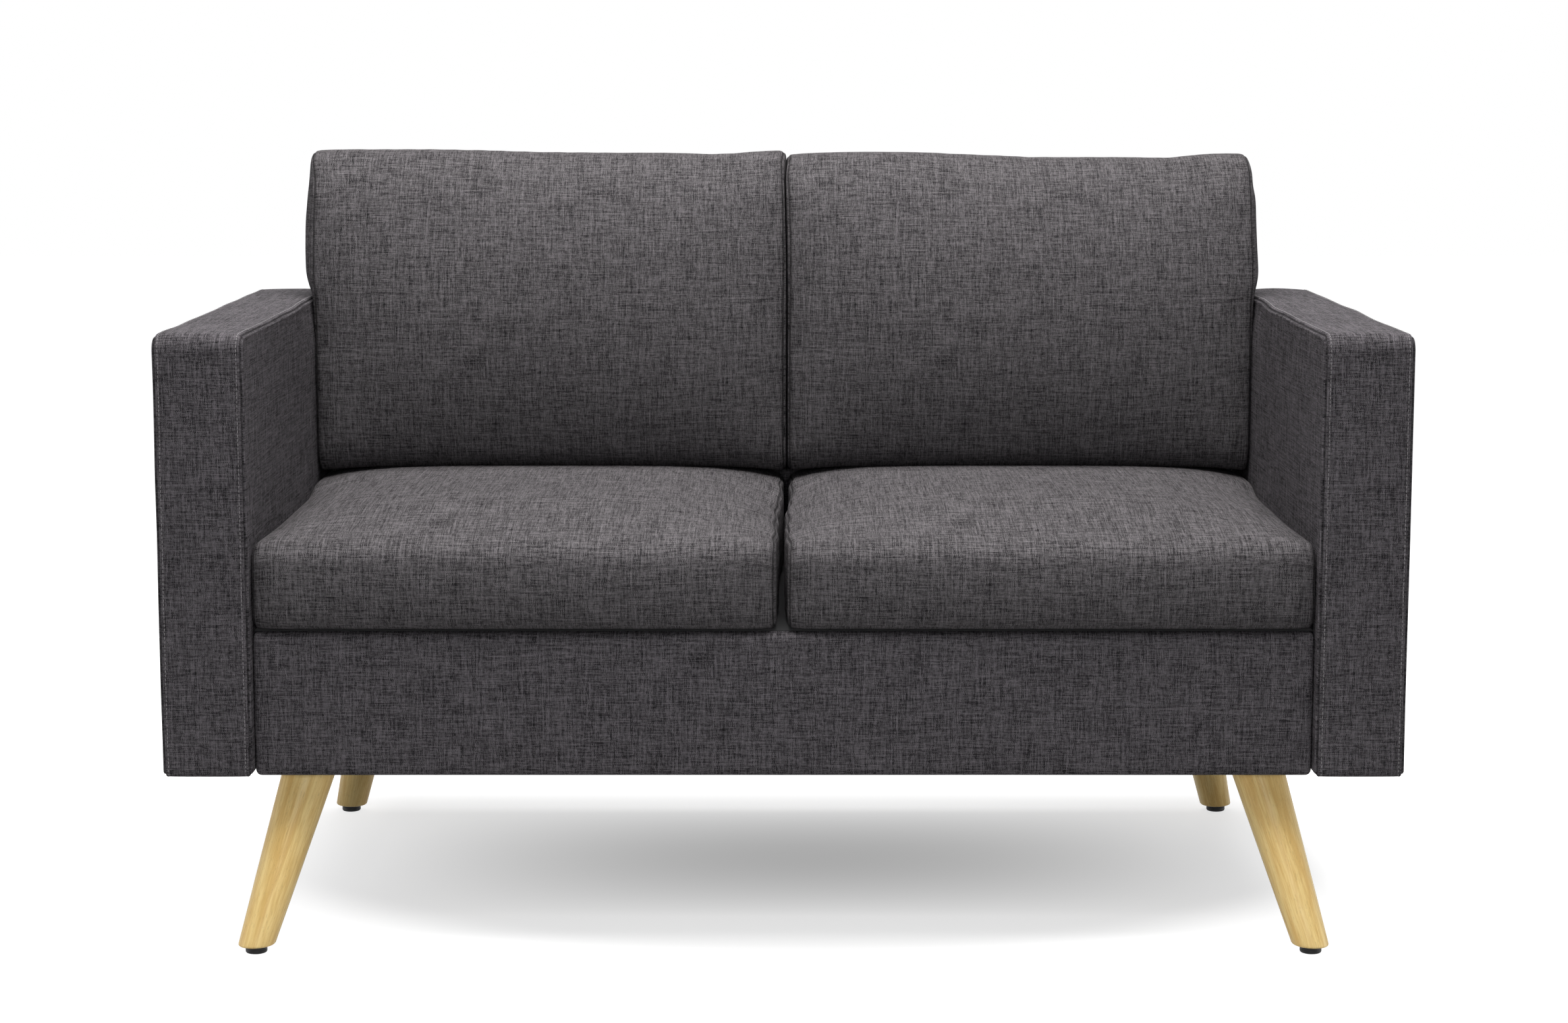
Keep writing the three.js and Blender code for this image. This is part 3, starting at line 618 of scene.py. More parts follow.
# %% Round the corners of the strip
def round_corners(y, z, inset, box, radii):
    """Points of a rectangle moved to an outline with rounded corners, drawn in by the inset."""
    y0, y1, z0, z1 = box
    new_y, new_z = y.copy(), z.copy()
    done = np.zeros(len(y), bool)
    for side_y, edge_y in ((-1, y0), (1, y1)):
        for side_z, edge_z in ((-1, z0), (1, z1)):
            radius = radii[(side_y, side_z)]
            dy = side_y * (y - edge_y) + radius
            dz = side_z * (z - edge_z) + radius
            inside = (dy > 0) & (dz > 0)
            length = np.maximum(np.hypot(dy, dz), 1e-9)
            reach = np.maximum(dy, dz) - inset
            new_y = np.where(inside, edge_y + side_y * (dy / length * reach - radius), new_y)
            new_z = np.where(inside, edge_z + side_z * (dz / length * reach - radius), new_z)
            done |= inside
    for sign, edge in ((1, y0), (-1, y1)):
        new_y = np.where(~done & (np.abs(y - edge) < 1e-6), y + sign * inset, new_y)
    for sign, edge in ((1, z0), (-1, z1)):
        new_z = np.where(~done & (np.abs(z - edge) < 1e-6), z + sign * inset, new_z)
    return new_y, new_z


# %% Lay out the sewn box
def sewn_box(half_width, box, radii, edge_radius, steps, shape, seam_shift=0, rough=False):
    """Points, faces, UVs and seam distances of a strip with two side panels, shaped by shape(points).

    The radii are those of the outline's corners, by (y side, z side). The steps are the sizes of
    the faces across, from front to back and upwards.
    """
    y0, y1, z0, z1 = box
    corner = max(radii.values())
    ys = side_marks(y0, y1, edge_radius, steps[1], corner, rough)
    zs = side_marks(z0, z1, edge_radius, steps[2], corner, rough)
    ny, nz = len(ys) - 1, len(zs) - 1

    # the ring goes once round the outline: up the front, over the top, down the back and along the bottom
    ring = ([(0, k) for k in range(nz)] + [(j, nz) for j in range(ny)]
            + [(ny, k) for k in range(nz, 0, -1)] + [(j, 0) for j in range(ny, 0, -1)])
    outer_y = ys.copy()
    outer_y[0], outer_y[-1] = y0, y1
    outer_z = zs.copy()
    outer_z[0], outer_z[-1] = z0, z1
    ring_y = np.array([outer_y[j] for j, _ in ring])
    ring_z = np.array([outer_z[k] for _, k in ring])

    # the strip is the ring again and again, from one seam to the other
    strip_length = 2 * (half_width - edge_radius) + edge_radius * math.pi / 2
    across = panel_marks(strip_length, steps[0], edge_radius, rough)
    edge = np.minimum(across, strip_length - across)
    inset, drop = rolled(edge, edge_radius)
    xs = np.where(across < strip_length / 2, inset - half_width, half_width - inset)
    nx = len(xs) - 1
    points, seam = [], []
    for i in range(nx + 1):
        y, z = round_corners(ring_y, ring_z, np.full(len(ring), drop[i]), box, radii)
        points.append(np.stack([np.full(len(ring), xs[i]), y, z], 1))
        seam.append(np.full(len(ring), edge[i]))
    points, seam = [np.concatenate(points)], [np.concatenate(seam)]

    # each side panel is a grid inside the ring, which rolls over to the seam
    grid_j, grid_k = np.meshgrid(np.arange(1, ny), np.arange(1, nz), indexing="ij")
    grid_j, grid_k = grid_j.ravel(), grid_k.ravel()
    side_y, side_z = round_corners(ys[grid_j], zs[grid_k], np.zeros(len(grid_j)), box, radii)
    gap = np.minimum.reduce([ys[grid_j] - y0, y1 - ys[grid_j], zs[grid_k] - z0, z1 - zs[grid_k]])
    lean = np.arcsin(np.clip(1 - gap / edge_radius, 0, 1))
    side_drop = edge_radius * (1 - np.cos(lean))
    roll = edge_radius * math.pi / 4
    side_seam = np.where(gap < edge_radius, edge_radius * (math.pi / 4 - lean), gap - edge_radius + roll)
    for sign in (-1, 1):
        points.append(np.stack([sign * (half_width - side_drop), side_y, side_z], 1))
        seam.append(-side_seam)
    points, seam = np.concatenate(points), np.concatenate(seam)

    count = len(ring)
    ring_index = {place: n for n, place in enumerate(ring)}

    def vertex(side, j, k):
        if (j, k) in ring_index:
            return ring_index[(j, k)] + (0 if side < 0 else nx) * count
        return (nx + 1) * count + (0 if side < 0 else len(grid_j)) + (j - 1) * (nz - 1) + (k - 1)

    # the UV map of the strip is measured along its middle
    middle = points[(nx // 2) * count:(nx // 2 + 1) * count]
    runs = np.linalg.norm((np.roll(middle, -1, 0) - middle) * (1, depth_share, 1), axis=1)
    along = np.concatenate([[0], np.cumsum(runs)])
    faces, uvs = [], []
    for r in range(count):
        s = (r + 1) % count
        for i in range(nx):
            faces.append((i * count + r, (i + 1) * count + r, (i + 1) * count + s, i * count + s))
            u0, u1 = across[i] - strip_length / 2, across[i + 1] - strip_length / 2
            uvs += [(u0, along[r]), (u1, along[r]), (u1, along[r + 1]), (u0, along[r + 1])]
    for side in (-1, 1):
        for j in range(ny):
            for k in range(nz):
                around = [(j, k), (j, k + 1), (j + 1, k + 1), (j + 1, k)]
                if side > 0:
                    around.reverse()
                faces.append(tuple(vertex(side, a, b) for a, b in around))
                uvs += [(ys[a] * depth_share + 3 * side, zs[b]) for a, b in around]
    return {
        "points": shape(points), "faces": faces, "uvs": np.array(uvs), "seam": seam - seam_shift,
        "ring": ring, "count": count, "grid": (ny, nz), "stitches": (stitch_line, nx - stitch_line),
    }


# %% Vertex normals, and the seam pressed into the surface
def vertex_normals(points, faces):
    """Area-weighted normals of a quad mesh."""
    quads = np.array(faces)
    normal = np.cross(points[quads[:, 2]] - points[quads[:, 0]], points[quads[:, 3]] - points[quads[:, 1]])
    total = np.zeros_like(points)
    for corner in range(4):
        np.add.at(total, quads[:, corner], normal)
    return total / np.maximum(np.linalg.norm(total, axis=1), 1e-12)[:, None]


# in millimetres: half the fold's width, and the allowance's and the stitches' place and half width
fold_reach = 0.9
allowance_at, allowance_reach = 2.8, 1.3
stitches_at, stitches_reach = 5.0, 0.9


def seam_profile(distance, depth, ridge, dimple):
    """Height of the cloth beside a seam: a fold at zero, a raised allowance, a dimple at the stitches."""
    d = np.abs(distance) * 1000
    fold = -depth * np.exp(-(d / fold_reach) ** 2)
    raised = ridge * np.exp(-((d - allowance_at) / allowance_reach) ** 2)
    pulled = -dimple * np.exp(-((d - stitches_at) / stitches_reach) ** 2) * (distance > 0)
    return (fold + raised + pulled) / 1000


# %% Turn points and faces into an object
def smooth_piece(name, points, faces, material, sharp_over=None):
    """A piece in one material, shaded smooth, with edges over an angle in degrees kept sharp."""
    mesh = bpy.data.meshes.new(name)
    mesh.from_pydata(points, [], faces)
    mesh.materials.append(material)
    mesh.shade_smooth()
    if sharp_over is not None:
        mesh.set_sharp_from_angle(angle=math.radians(sharp_over))
    return link_new(name, mesh)


def mesh_from_layout(name, layout, material):
    piece = smooth_piece(name, layout["points"].tolist(), layout["faces"], material)
    mesh = piece.data
    uv = mesh.uv_layers.new(name="cloth")
    uv.data.foreach_set("uv", layout["uvs"].ravel())
    seam = mesh.attributes.new("seam_distance", "FLOAT", "POINT")
    seam.data.foreach_set("value", layout["seam"])
    mesh.update()
    return piece


def mesh_points(piece):
    points = np.empty(len(piece.data.vertices) * 3)
    piece.data.vertices.foreach_get("co", points)
    return points.reshape(-1, 3)


def move_points(piece, points):
    piece.data.vertices.foreach_set("co", points.ravel())
    piece.data.update()


def make_real(piece, modifier):
    """Gives the piece the mesh that its one modifier makes, and takes the modifier off."""
    bpy.context.view_layer.update()
    depsgraph = bpy.context.evaluated_depsgraph_get()
    finished = bpy.data.meshes.new_from_object(
        piece.evaluated_get(depsgraph), preserve_all_data_layers=True, depsgraph=depsgraph)
    piece.modifiers.remove(modifier)
    unfinished = piece.data
    piece.data = finished
    bpy.data.meshes.remove(unfinished)
    finished.name = piece.name
    return piece


def subdivide(piece):
    """Smooths the piece with one level of subdivision."""
    subdivision = piece.modifiers.new("Smooth", "SUBSURF")
    subdivision.levels = subdivision.render_levels = 1
    return make_real(piece, subdivision)


# %% [markdown]
# ## Stitches
#
# Topstitching is a row of equal short threads beside the seams of the arms and
# the back. Modelling thousands by hand is out of the question, and a painted
# line would vanish in a close view. A Geometry Nodes tree walks along each sewn
# line, drops one slim thread at every step, turns it along the line and lays it
# on the cloth.


# %% A tree that walks along lines
GEOMETRY, MATERIAL = "NodeSocketGeometry", "NodeSocketMaterial"


def new_row_tree(name, sizes):
    """A tree with points along each line, and the turn that lays a thing along the line and on the cloth."""
    tree, start, end = new_group(
        name, [("Geometry", GEOMETRY, None), *sizes], [("Geometry", GEOMETRY)], "GeometryNodeTree")
    line = add_node(tree, "GeometryNodeMeshToCurve", {0: start.outputs["Geometry"]})
    steps = add_node(tree, "GeometryNodeResampleCurve",
                     {"Curve": line.outputs[0], "Length": start.outputs["Pitch"]}, mode="LENGTH")
    points = add_node(tree, "GeometryNodeCurveToPoints", {"Curve": steps.outputs[0]}, mode="EVALUATED")
    outward = add_node(tree, "GeometryNodeInputNamedAttribute", {"Name": "outward"}, data_type="FLOAT_VECTOR")
    upright = add_node(tree, "FunctionNodeAlignRotationToVector", {"Vector": outward.outputs[0]}, axis="Z")
    turned = add_node(tree, "FunctionNodeAlignRotationToVector",
                      {"Rotation": upright.outputs[0], "Vector": points.outputs["Tangent"]}, axis="X", pivot_axis="Z")
    return tree, start, end, {"Points": points.outputs["Points"], "Rotation": turned.outputs[0]}


# %% The stitching tree
def make_stitch_tree():
    tree, start, end, places = new_row_tree("row_of_stitches", [
        ("Pitch", FLOAT, 0.0044), ("Length", FLOAT, 0.0034), ("Thickness", FLOAT, 0.0006),
        ("Seed", "NodeSocketInt", 3), ("Thread", MATERIAL, None)])
    thread = add_node(tree, "GeometryNodeMeshUVSphere", {"Segments": 6, "Rings": 4, "Radius": 0.5})
    sizes = add_node(tree, "ShaderNodeCombineXYZ", {
        "X": start.outputs["Length"], "Y": start.outputs["Thickness"], "Z": start.outputs["Thickness"]})
    vary = add_node(tree, "FunctionNodeRandomValue", {2: 0.9, 3: 1.1, "Seed": start.outputs["Seed"]},
                    data_type="FLOAT")
    scaled = add_node(tree, "ShaderNodeVectorMath", {0: sizes.outputs[0], "Scale": vary.outputs[1]},
                      operation="SCALE")
    placed = add_node(tree, "GeometryNodeInstanceOnPoints", {
        **places, "Instance": thread.outputs["Mesh"], "Scale": scaled.outputs[0]})
    real = add_node(tree, "GeometryNodeRealizeInstances", {0: placed.outputs[0]})
    smooth = add_node(tree, "GeometryNodeSetShadeSmooth", {0: real.outputs[0]})
    finish = add_node(tree, "GeometryNodeSetMaterial", {
        "Geometry": smooth.outputs[0], "Material": start.outputs["Thread"]})
    tree.links.new(finish.outputs[0], end.inputs[0])
    return tree


stitch_tree = make_stitch_tree()


# %% Run a tree along lines
def set_input(modifier, tree, title, value):
    """Sets a Geometry Nodes input by its socket's identifier."""
    socket = next(s for s in tree.interface.items_tree if s.name == title and s.in_out == "INPUT")
    modifier[socket.identifier] = value


def grow_along(name, lines, tree, values):
    """What a tree makes along polylines. Each line is (points, outward directions)."""
    verts, edges, outward = [], [], []
    for points, normals in lines:
        first = len(verts)
        verts += points.tolist()
        outward += normals.tolist()
        edges += [(first + n, first + n + 1) for n in range(len(points) - 1)]
    mesh = bpy.data.meshes.new(name)
    mesh.from_pydata(verts, edges, [])
    direction = mesh.attributes.new("outward", "FLOAT_VECTOR", "POINT")
    direction.data.foreach_set("vector", np.array(outward).ravel())
    piece = link_new(name, mesh)
    rows = piece.modifiers.new("Rows", "NODES")
    rows.node_group = tree
    for title, value in values.items():
        set_input(rows, tree, title, value)
    make_real(piece, rows)
    print(name, len(piece.data.polygons), "faces")
    return piece


def ring_line(piece, layout, line, first, last, lift):
    """The part of one line round the strip between two ring places, lifted off the cloth, with its normals."""
    points = mesh_points(piece)
    start, stop = layout["ring"].index(first), layout["ring"].index(last)
    picked = [line * layout["count"] + n % layout["count"]
              for n in range(start, stop + 1 if stop > start else stop + 1 + layout["count"])]
    normals = np.empty(len(piece.data.vertices) * 3)
    piece.data.vertex_normals.foreach_get("vector", normals)
    normals = normals.reshape(-1, 3)[picked]
    return points[picked] + normals * lift, normals


# %% [markdown]
# ## Cloth that settles
#
# A cushion is a full bag of foam in a sewn cover. Its panels are cut a little
# large and gathered at the seams, so the cloth swells between them and puckers
# beside them. That is hard to draw and easy to simulate. The fine mesh would
# take minutes, so a rough cover of the same shape goes through Blender's Cloth:
# gentle pressure, no gravity, soft pins that remember the cut shape and firm
# ones on the seams. The fine cover then takes over how far each place moved.


# %% Simulate a cover
def simulate(piece, hold, slack, pressure, frames):
    """Runs Cloth on a rough cover and gives how far each point moved."""
    before = mesh_points(piece)
    pins = piece.vertex_groups.new(name="pins")
    loose = piece.vertex_groups.new(name="gathers")
    for index, (pin, ease_in) in enumerate(zip(hold, slack)):
        pins.add([index], float(pin), "REPLACE")
        loose.add([index], float(ease_in), "REPLACE")
    cloth = piece.modifiers.new("Cloth", "CLOTH")
    settings = cloth.settings
    settings.quality = 5
    settings.mass = 0.002
    settings.use_pressure = True
    settings.uniform_pressure_force = pressure
    settings.vertex_group_mass = "pins"
    settings.pin_stiffness = 1.0
    settings.tension_stiffness = settings.compression_stiffness = 14
    settings.shear_stiffness = 6
    settings.bending_stiffness = 0.12
    settings.vertex_group_shrink = "gathers"
    settings.shrink_min = 0.0
    settings.shrink_max = -0.05
    settings.effector_weights.gravity = 0
    cloth.collision_settings.use_collision = False
    cloth.point_cache.frame_start, cloth.point_cache.frame_end = 1, frames
    scene = bpy.context.scene
    for number in range(1, frames + 1):
        scene.frame_set(number)
    evaluated = piece.evaluated_get(bpy.context.evaluated_depsgraph_get())
    after = np.empty(len(before) * 3)
    evaluated.data.vertices.foreach_get("co", after)
    scene.frame_set(1)
    return after.reshape(-1, 3) - before


# how far from a seam the gathers reach, and how many points of the rough cover each fine one follows
gathered_reach, followed = 0.006, 5


def settle_cover(piece, rough, loosest, pressure, frames, cap):
    """Simulates the rough cover and carries its moves over to the fine one, with each move capped."""
    cover = mesh_from_layout("rough_cover", rough, cushion_cloth)
    places = mesh_points(cover)
    normals = vertex_normals(places, rough["faces"])
    near_seam = np.exp(-(np.abs(rough["seam"]) / gathered_reach) ** 2)
    # the underside, the rear and the side panels lie against something, so they hardly move
    resting = (normals[:, 2] < -0.5) | (normals[:, 1] > 0.5) | (np.abs(normals[:, 0]) > 0.8)
    hold = np.clip(np.where(resting, 0.9, loosest) + near_seam, 0, 0.97)
    moves = simulate(cover, hold, 1 - near_seam, pressure, frames)
    # the cut shape is full already, so the even part of the swelling is taken off again
    moves -= normals * (moves * normals).sum(1)[~resting].mean()
    length = np.linalg.norm(moves, axis=1)
    print(piece.name, len(places), "points settled, mean", round(float(length.mean() * 1000), 2),
          "mm, most", round(float(length.max() * 1000), 2))
    moves *= (cap * np.tanh(length / cap) / np.maximum(length, 1e-9))[:, None]
    rough_mesh = cover.data
    bpy.data.objects.remove(cover)
    bpy.data.meshes.remove(rough_mesh)
    tree = KDTree(len(places))
    for index, place in enumerate(places):
        tree.insert(place, index)
    tree.balance()
    points = mesh_points(piece)
    for index, point in enumerate(points.copy()):
        found = [(hit[1], 1 / (hit[2] + 0.002) ** 2) for hit in tree.find_n(point, followed)]
        total = sum(share for _, share in found)
        points[index] += sum(moves[n] * share for n, share in found) / total
    move_points(piece, points)


# %% [markdown]
# ## Seat cushions
#
# Each seat cushion is a boxed block of foam in a zipped cover. The strip runs
# from the front over the top, the panels at the sides are narrow, and the back
# cushion presses it flat behind. A single scaled cube would have none of the
# crown. The sewn box is shaped by a few plain rules first, then its cover
# settles by simulation.


# %% Helpers for shaping
def ease(value):
    """Goes smoothly from 0 to 1."""
    share = np.clip(value, 0, 1)
    return share * share * (3 - 2 * share)


wave_count, wave_height = 7, 1.6


def slow_waves(a, b, seed, size):
    """Gentle unevenness from -1 to 1 over two directions: a few crossed sine waves with fixed phases."""
    rng = np.random.default_rng(seed)
    total = np.zeros_like(a)
    for _ in range(wave_count):
        turn, phase = rng.uniform(0, math.tau, 2)
        stretch = size * rng.uniform(0.6, 1.6)
        total += np.sin((a * math.cos(turn) + b * math.sin(turn)) * math.tau / stretch + phase)
    return total / wave_count * wave_height


def press_seam(piece, layout, depth, ridge, dimple):
    """Moves the surface to the fold, the allowance and the stitch line of each seam, given in millimetres."""
    points = mesh_points(piece)
    normals = vertex_normals(points, layout["faces"])
    move_points(piece, points + normals * seam_profile(layout["seam"], depth, ridge, dimple)[:, None])


def stitch_rows(piece, layout, first, last, lift):
    """Both rows of topstitching between two places on the ring."""
    return [ring_line(piece, layout, line, first, last, lift) for line in layout["stitches"]]


def carry(piece, body, slot, *replaced):
    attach(piece, body)
    if replaced:
        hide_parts(*replaced)
    return piece


# %% Seat cushion shape
# heights of the front edge's top and of the part that carries the back cushion
seat_edge_top, seat_rest = 0.442, 0.456
# how much the middle rises, the front swells, the cloth is pushed up before the back cushion, and the sides fall
seat_crown, seat_bulge, seat_ridge, seat_side_fall = 0.021, 0.007, 0.004, 0.006
# how far both cushions droop at the ends of the line where they meet
seat_droop = 0.013
seat_corner, seat_low_corner, cushion_edge_radius = 0.026, 0.022, 0.009
# half the gap between two cushions, and how far the arm's inner face lies from the middle
half_gap, arm_face = 0.0006, 0.5551
# how far a cushion's outer side is pushed against its arm, and how far from a side seam its front falls away
outer_push, corner_reach = 0.0045, 0.026
seat_corner_fall, back_corner_fall = 0.0085, 0.0080
# how far the two cushions of a pair pull back from each other, and how much more the seats do so at the front
inner_pull, front_pull = 0.0012, 0.0020
seat_uneven, back_uneven = 0.0012, 0.0022
seat_face_size, seat_rough_size = (0.009, 0.009, 0.009), (0.016, 0.016, 0.016)
hands = (("left", -1), ("right", 1))


def back_meeting(y):
    """Where the two back cushions touch, which is never quite a straight line."""
    return 0.0030 + 0.0012 * np.sin(y * math.tau / 0.075)


def seat_meeting(y):
    """Where the two seat cushions touch. Under the back cushions it follows their line, so that one lifts past them."""
    in_front = -0.0020 + 0.0010 * np.sin(y * math.tau / 0.11)
    return in_front + (back_meeting(y) - in_front) * ease((y + 0.05) / 0.160)


def arm_press(y, z):
    """How far a back cushion presses the top inner edge of its arm outwards."""
    return 0.0055 * ease((z - 0.600) / 0.060) * ease((y - 0.02) / 0.13)


def near_side(u, sign):
    """1 at the side panel that faces the sign, 0 over most of the cushion."""
    return ease(u * sign * 4 - 3)


def corner_fall(x, half_x, depth):
    """How far the cloth falls away towards the side seams."""
    return depth * np.clip((np.abs(x) - half_x) / corner_reach + 1, 0, 1) ** 2


def make_seat_cushion(hand, side, seed):
    low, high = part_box(f"seat_cushion_cover_{hand}")
    back_low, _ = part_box(f"back_cushion_cover_{hand}")
    half_x = (high[0] - low[0]) / 2
    y0, y1 = low[1] + seat_bulge, high[1]
    half_y, half_z = (y1 - y0) / 2, (seat_edge_top - low[2]) / 2
    centre = np.array([(low[0] + high[0]) / 2, (y0 + y1) / 2, low[2] + half_z])
    press_from = back_low[1] + 0.002 - centre[1]

    def shape(points):
        x, y, z = points.T
        u, v, w = x / half_x, y / half_y, z / half_z
        upper = ease((w + 1) / 2)
        rise = (seat_crown * (1 - np.abs(u) ** 3) - seat_side_fall * np.abs(u) ** 8) * ease((v + 1) * 1.5)
        pressed = ease((y - press_from + half_y / 4) / (half_y / 4))
        bulge = seat_bulge * (1 - u * u) * (1 - w * w) * ease(-v * 2 - 1)
        parted = inner_pull + front_pull * ease((-0.22 - y - centre[1]) / 0.06)
        pushed = side * (outer_push * near_side(u, side) + parted * near_side(u, -side))
        uneven = seat_uneven * slow_waves(x, y, seed, 0.28) * upper * (1 - pressed) * (1 - u ** 4)
        ridge = seat_ridge * (1 - u ** 4) * np.exp(-((y - press_from + 0.012) / 0.040) ** 2)
        under_back = seat_rest - seat_edge_top - seat_droop * np.abs(u) ** 6
        lift = upper * (rise * (1 - pressed) + under_back * pressed + ridge) + uneven
        meet = seat_meeting(y + centre[1]) * near_side(u, -side)
        fall = corner_fall(x, half_x, seat_corner_fall)
        back_off = fall * ease(-v * 8 - 6)
        height = z + lift - 0.6 * fall * upper * (1 - pressed)
        return np.stack([x + pushed + meet, y - bulge + back_off, height], 1) + centre

    radii = {(a, b): seat_corner if b > 0 else seat_low_corner for a in (-1, 1) for b in (-1, 1)}
    box = (-half_y, half_y, -half_z, half_z)
    bag = (half_x, box, radii, cushion_edge_radius)
    layout = sewn_box(*bag, seat_face_size, shape, cushion_seam_shift)
    rough = sewn_box(*bag, seat_rough_size, shape, cushion_seam_shift, rough=True)
    piece = mesh_from_layout(f"seat_cushion_{hand}", layout, cushion_cloth)
    return piece, layout, rough, centre, (half_x, half_y, half_z)


def keep_seat_clear(piece, centre, half, side):
    """The cushion stays off the arm, off the other seat cushion and on the deck."""
    points = mesh_points(piece)
    x, y, z = points.T
    inner = seat_meeting(y) + side * half_gap
    outer = np.full(len(x), side * arm_face)
    points[:, 0] = np.clip(x, np.minimum(inner, outer), np.maximum(inner, outer))
    points[:, 2] = np.maximum(z, centre[2] - half[2])
    move_points(piece, points)


seat_cushions = {}
for hand, side in hands:
    cushion, layout, rough, centre, half = make_seat_cushion(hand, side, 11 + side)
    settle_cover(cushion, rough, loosest=0.28, pressure=7, frames=12, cap=0.003)
    keep_seat_clear(cushion, centre, half, side)
    press_seam(cushion, layout, depth=0.8, ridge=0.2, dimple=0)
    subdivide(cushion)
    seat_cushions[hand] = cushion
    print(cushion.name, len(cushion.data.polygons), "faces")

# %% [markdown]
# ## Back cushions
#
# A back cushion is softer than a seat. It is filled with fibre, so it is fullest
# in the middle, its top edge sags and lifts in waves, and the cloth draws small
# folds into its upper corners. It leans on the back, stands on the seat cushion
# and swells a little over the arms. The left and right ones differ, because no
# two filled cushions settle alike.

# %% Back cushion shape
back_lean_from, back_inner_low = 0.3447, 0.255
back_lean = 0.030 / (0.760 - back_lean_from)
back_gap, back_half_depth, back_top = 0.0015, 0.061, 0.832
back_cushion_corners = {(-1, -1): 0.030, (-1, 1): 0.062, (1, -1): 0.018, (1, 1): 0.030}
back_face_size, back_rough_size = (0.008, 0.009, 0.008), (0.014, 0.016, 0.014)
# below the first height the arm holds the cushion in; above it the cushion may reach out to the second number
arm_holds_to, widest_reach = 0.6625, 0.6
# place up the cushion, its depth at the side seams, and how much fuller it is in the middle
fullness_table = (
    (-1, 0.110, 0), (-0.7, 0.115, 0.017), (-0.35, 0.118, 0.025), (0, 0.118, 0.025), (0.35, 0.112, 0.018),
    (0.7, 0.100, 0.006), (1, 0.088, 0))
# height, and how far the side panel swells out over the arm
swell_table = {
    "left": ((0.625, 0), (0.650, 0.004), (0.661, 0.007), (0.668, 0.009), (0.684, 0.0145), (0.715, 0.0155),
             (0.746, 0.0155), (0.777, 0.0132), (0.793, 0.0115), (0.808, 0.0105), (0.832, 0.009)),
    "right": ((0.625, 0), (0.650, 0.003), (0.661, 0.006), (0.668, 0.008), (0.684, 0.0115), (0.715, 0.0098),
              (0.746, 0.0088), (0.777, 0.0085), (0.793, 0.0050), (0.808, 0.0040), (0.832, 0)),
}
# place across the cushion, and how many millimetres its top edge lies lower there
top_drop_mm = {
    "left": ((-1, 0.7), (-0.9, 0), (-0.57, -0.8), (-0.32, 0), (-0.08, 2.4), (0.3, 3.3), (0.5, 3.3), (0.7, 5.4),
             (0.83, 3.8), (0.92, 1.4), (1, 0.6)),
    "right": ((-1, 6.6), (-0.93, 4.6), (-0.68, 2.5), (-0.43, 2.6), (-0.17, 5.6), (0.08, 8.6), (0.5, 8.8),
              (0.67, 10), (0.76, 7.6), (0.84, 4.8), (1, 4.6)),
}


def back_line(z):
    """Where the inner face of the back is, at a height."""
    return back_inner_low + np.maximum(0, z - back_lean_from) * back_lean


def smooth_table(rows, low, high):
    """A function that follows the rows of a table without corners."""
    places, *columns = np.array(rows).T
    fine = np.linspace(low, high, 241)
    window = np.hanning(25) / np.hanning(25).sum()
    curves = [np.convolve(np.pad(np.interp(fine, places, c), 12, "edge"), window, "valid") for c in columns]
    return lambda value: [np.interp(value, fine, curve) for curve in curves]


def make_back_cushion(hand, side, seed):
    low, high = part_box(f"back_cushion_cover_{hand}")
    half_x, half_y, half_z = (high[0] - low[0]) / 2, back_half_depth, (back_top - low[2]) / 2
    centre = np.array([(low[0] + high[0]) / 2, 0, low[2] + half_z])
    top_line = smooth_table(top_drop_mm[hand], -1.1, 1.1)
    fullness = smooth_table(fullness_table, -1.1, 1.1)
    swelling = smooth_table(swell_table[hand], 0.60, 0.84)

    def shape(points):
        x, y, z = points.T
        u, v, w = x / half_x, y / half_y, z / half_z
        full = (1 - u ** 4) * (1 - w * w)
        side_depth, extra = fullness(w)
        front_share = (1 - v) / 2
        y = back_line(z + centre[2]) - back_gap - (side_depth + extra * (1 - u ** 4)) * front_share
        behind_seam = 1 - np.exp(-((v + 1) / 0.35) ** 2)
        swell = swelling(z + centre[2])[0] * near_side(u, side) * side * (0.25 + 0.75 * behind_seam)
        # the front upper corners by the middle part in a small notch
        notch = 0.0055 * near_side(u, -side) * side * (1 - behind_seam) * ease((z + centre[2] - 0.812) / 0.012)
        pushed = side * (outer_push * near_side(u, side) - inner_pull * near_side(u, -side))
        meet = back_meeting(y) * near_side(u, -side)
        drop = top_line(u)[0] / 1000 * ease(w * 1.6 - 0.6)
        droop = 0.5 * seat_droop * np.abs(u) ** 6 * ease(-w * 5 - 4)
        uneven = back_uneven * slow_waves(x, z, seed, 0.22) * full * front_share
        folds = corner_folds(u, w, half_x, half_z, seed) * front_share
        fall = corner_fall(x, half_x, back_corner_fall) * front_share
        return np.stack([x + notch + pushed + swell + meet, y - uneven - folds + fall, z - drop - droop], 1) + centre

    bag = (half_x, (-half_y, half_y, -half_z, half_z), back_cushion_corners, cushion_edge_radius)
    layout = sewn_box(*bag, back_face_size, shape, cushion_seam_shift)
    rough = sewn_box(*bag, back_rough_size, shape, cushion_seam_shift, rough=True)
    piece = mesh_from_layout(f"back_cushion_{hand}", layout, cushion_cloth)
    return piece, layout, rough, centre, (half_x, half_y, half_z)


folds_per_corner = 5


